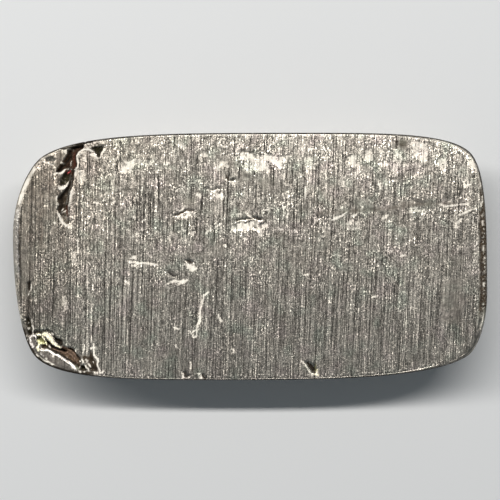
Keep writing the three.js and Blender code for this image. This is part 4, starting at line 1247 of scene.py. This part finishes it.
    def coloured(self, shine, dark):
        """The colour, with what the marks, the stains, the cast skin, the painted highlights and the
        painted shade do to it.
        """
        bright = self.tarnished()
        deep = self.blend(0.85, bright, METAL["between marks"])
        colour = self.blend(self.mix(self.calm, shine, 0.75), deep, bright)
        # The scratches are darkened by dirt in them, and by painted shade for the shadow inside them.
        colour = self.blend(dark * 0.95, colour, METAL["scratch"])
        # Where it glints, the colour turns to that of the painted highlight.
        colour = self.blend(self.glint * 0.87, colour, METAL["glint"])
        specks = self.marks["grit"].spread(0.1, 0.9, 0.5, 1.5) * self.glint.spread(0.3, 1, 1, 0.85)
        colour = self.blend(self.cover, colour, self.scaled(self.mask("stain_and_painted_light", "Color"), specks))
        cast = (1 - self.linished.most(self.cover)) * self.glint.spread(0, 1, 0.5, 0.0)
        return self.blend(cast, colour, METAL["cast"])

    def to_world(self, vector):
        how = {"vector_type": "VECTOR", "convert_from": "OBJECT", "convert_to": "WORLD"}
        return self.value("ShaderNodeVectorTransform", how, Vector=vector)

    def facing(self, dark):
        """The normal: each mark's floor is tilted a little its own way, and glints face the lamp."""
        worn = self.linished * (1 - self.missed)
        height = self.mix(worn, self.pebble * PEBBLE_HEIGHT, dark * SCRATCH_HEIGHT) * MM
        bump = self.value("ShaderNodeBump", Strength=1.0, Distance=1.0, Height=height)
        # The grains stand in clusters, most on the upper side.
        cluster = self.grain(self.place, 0.30, 3, 0.6).spread(0.40, 0.66, 0.15, 1.5)
        cluster *= self.y.spread(-20, 20, 0.75, 1.1)
        grains = (self.mark(0.7, 4.2, 1).spread(0.3, 0.7) * 0.16 - 0.08) * cluster
        tilt = self.weighed(5) * self.x.spread(-22, -32, 1, 1.5) + grains
        aside = (self.mark(0.1, 4.1, 1) - 0.5) * self.linished
        tilt = self.joined(X=aside, Y=tilt * self.linished * (1 - self.calm))
        # A glint is a painted highlight: a bare granule or edge gets a face of its own, that looks up and a
        # little to the upper side, towards the lamp.
        facet = self.joined(Y=self.y.spread(-20, 20, 0.28, 0.17), Z=1.0)
        ways = {"_4": self.vector("ADD", bump, self.to_world(tilt)), "_5": self.to_world(facet)}
        way = self.value("ShaderNodeMix", {"data_type": "VECTOR"}, 1, _0=self.glint, **ways)
        return self.vector("NORMALIZE", way)

    def material(self):
        self.light_up()
        shine, dark = self.shine(), self.dark_marks()
        # A faint stain leaves the metal as smooth as it was.
        held = self.cover.spread(0.25, 0.85) * self.glint.spread(0.1, 0.55, 1, 0)
        ground = shine.spread(0, 1, DEEP_ROUGHNESS, BRIGHT_ROUGHNESS)
        roughness = self.mix(held, ground, STAIN_ROUGHNESS)
        return self.principled(
            Base_Color=self.coloured(shine, dark),
            Metallic=held.spread(0, 1, 1.0, STAIN_METALLIC),
            Roughness=self.mix(self.glint.spread(0.05, 0.45), roughness, GLINT_ROUGHNESS),
            Normal=self.facing(dark),
        )


# ---- The stage, in metres ----

TABLE_REACH = 3.0
TABLE_COLOUR = (0.82, 0.825, 0.82, 1)
SENSOR = 36.0  # as wide as Blender's own, in millimetres
LAMP_HEIGHT = 0.42
LAMP_TILT = math.radians(25)  # from upright, towards the upper side
LAMP_LEFT, LAMP_RIGHT = -0.65, 0.28  # where the lamp's ends are along X
LAMP_DEPTH = 0.03
LAMP_POWER = 2.83
LAMP_COLOUR = (1.0, 0.985, 0.97)
ROOM_COLOUR = (0.90, 1.03, 1.14, 1)
FILL, HORIZON = 0.10, 0.33  # the room's strength overhead and at the horizon


def make_table():
    mesh = bpy.data.meshes.new("table")
    corners = [(x * TABLE_REACH, y * TABLE_REACH, 0) for x, y in ((-1, -1), (1, -1), (1, 1), (-1, 1))]
    mesh.from_pydata(corners, [], [range(4)])
    table = linked("table", mesh)
    nodes = Nodes(bpy.data.materials.new("pale_table"))
    table.data.materials.append(nodes.principled(Base_Color=TABLE_COLOUR, Roughness=0.6))


def make_lamp():
    data = bpy.data.lights.new("lamp", "AREA")
    data.shape = "RECTANGLE"
    data.size, data.size_y = LAMP_RIGHT - LAMP_LEFT, LAMP_DEPTH
    data.energy = LAMP_POWER
    data.color = LAMP_COLOUR
    lamp = linked("lamp", data)
    lamp.location = ((LAMP_LEFT + LAMP_RIGHT) / 2, LAMP_HEIGHT * math.tan(LAMP_TILT), LAMP_HEIGHT)
    lamp.rotation_euler = (-LAMP_TILT, 0, 0)


def make_room():
    room = Nodes(bpy.data.worlds.new("room"))
    way = room.value("ShaderNodeTexCoord", output="Generated")
    up = room.value("ShaderNodeSeparateXYZ", output="Z", Vector=way)
    strength = up.spread(0.1, 0.6, HORIZON, FILL, "SMOOTHSTEP")
    light = room.value("ShaderNodeBackground", Color=ROOM_COLOUR, Strength=strength)
    room.add("ShaderNodeOutputWorld", Surface=light)
    bpy.context.scene.world = room.owner


def make_camera():
    data = bpy.data.cameras.new("camera")
    data.sensor_width = SENSOR
    data.lens = SENSOR * CAMERA_HEIGHT / (PITCH * PICTURE)
    data.clip_start, data.clip_end = 0.01, 20
    camera = linked("camera", data)
    x = (PICTURE / 2 - BAR_IN_PICTURE[0]) * PITCH
    y = (BAR_IN_PICTURE[1] - PICTURE / 2) * PITCH
    camera.location = Vector((x, y, HEIGHT - ROLL_DROP + CAMERA_HEIGHT)) * MM
    bpy.context.scene.camera = camera


bar = make_bar()
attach(bar, "root")
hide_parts("ingot")
make_table()
make_lamp()
make_room()
make_camera()
bpy.context.scene.view_settings.view_transform = "Standard"
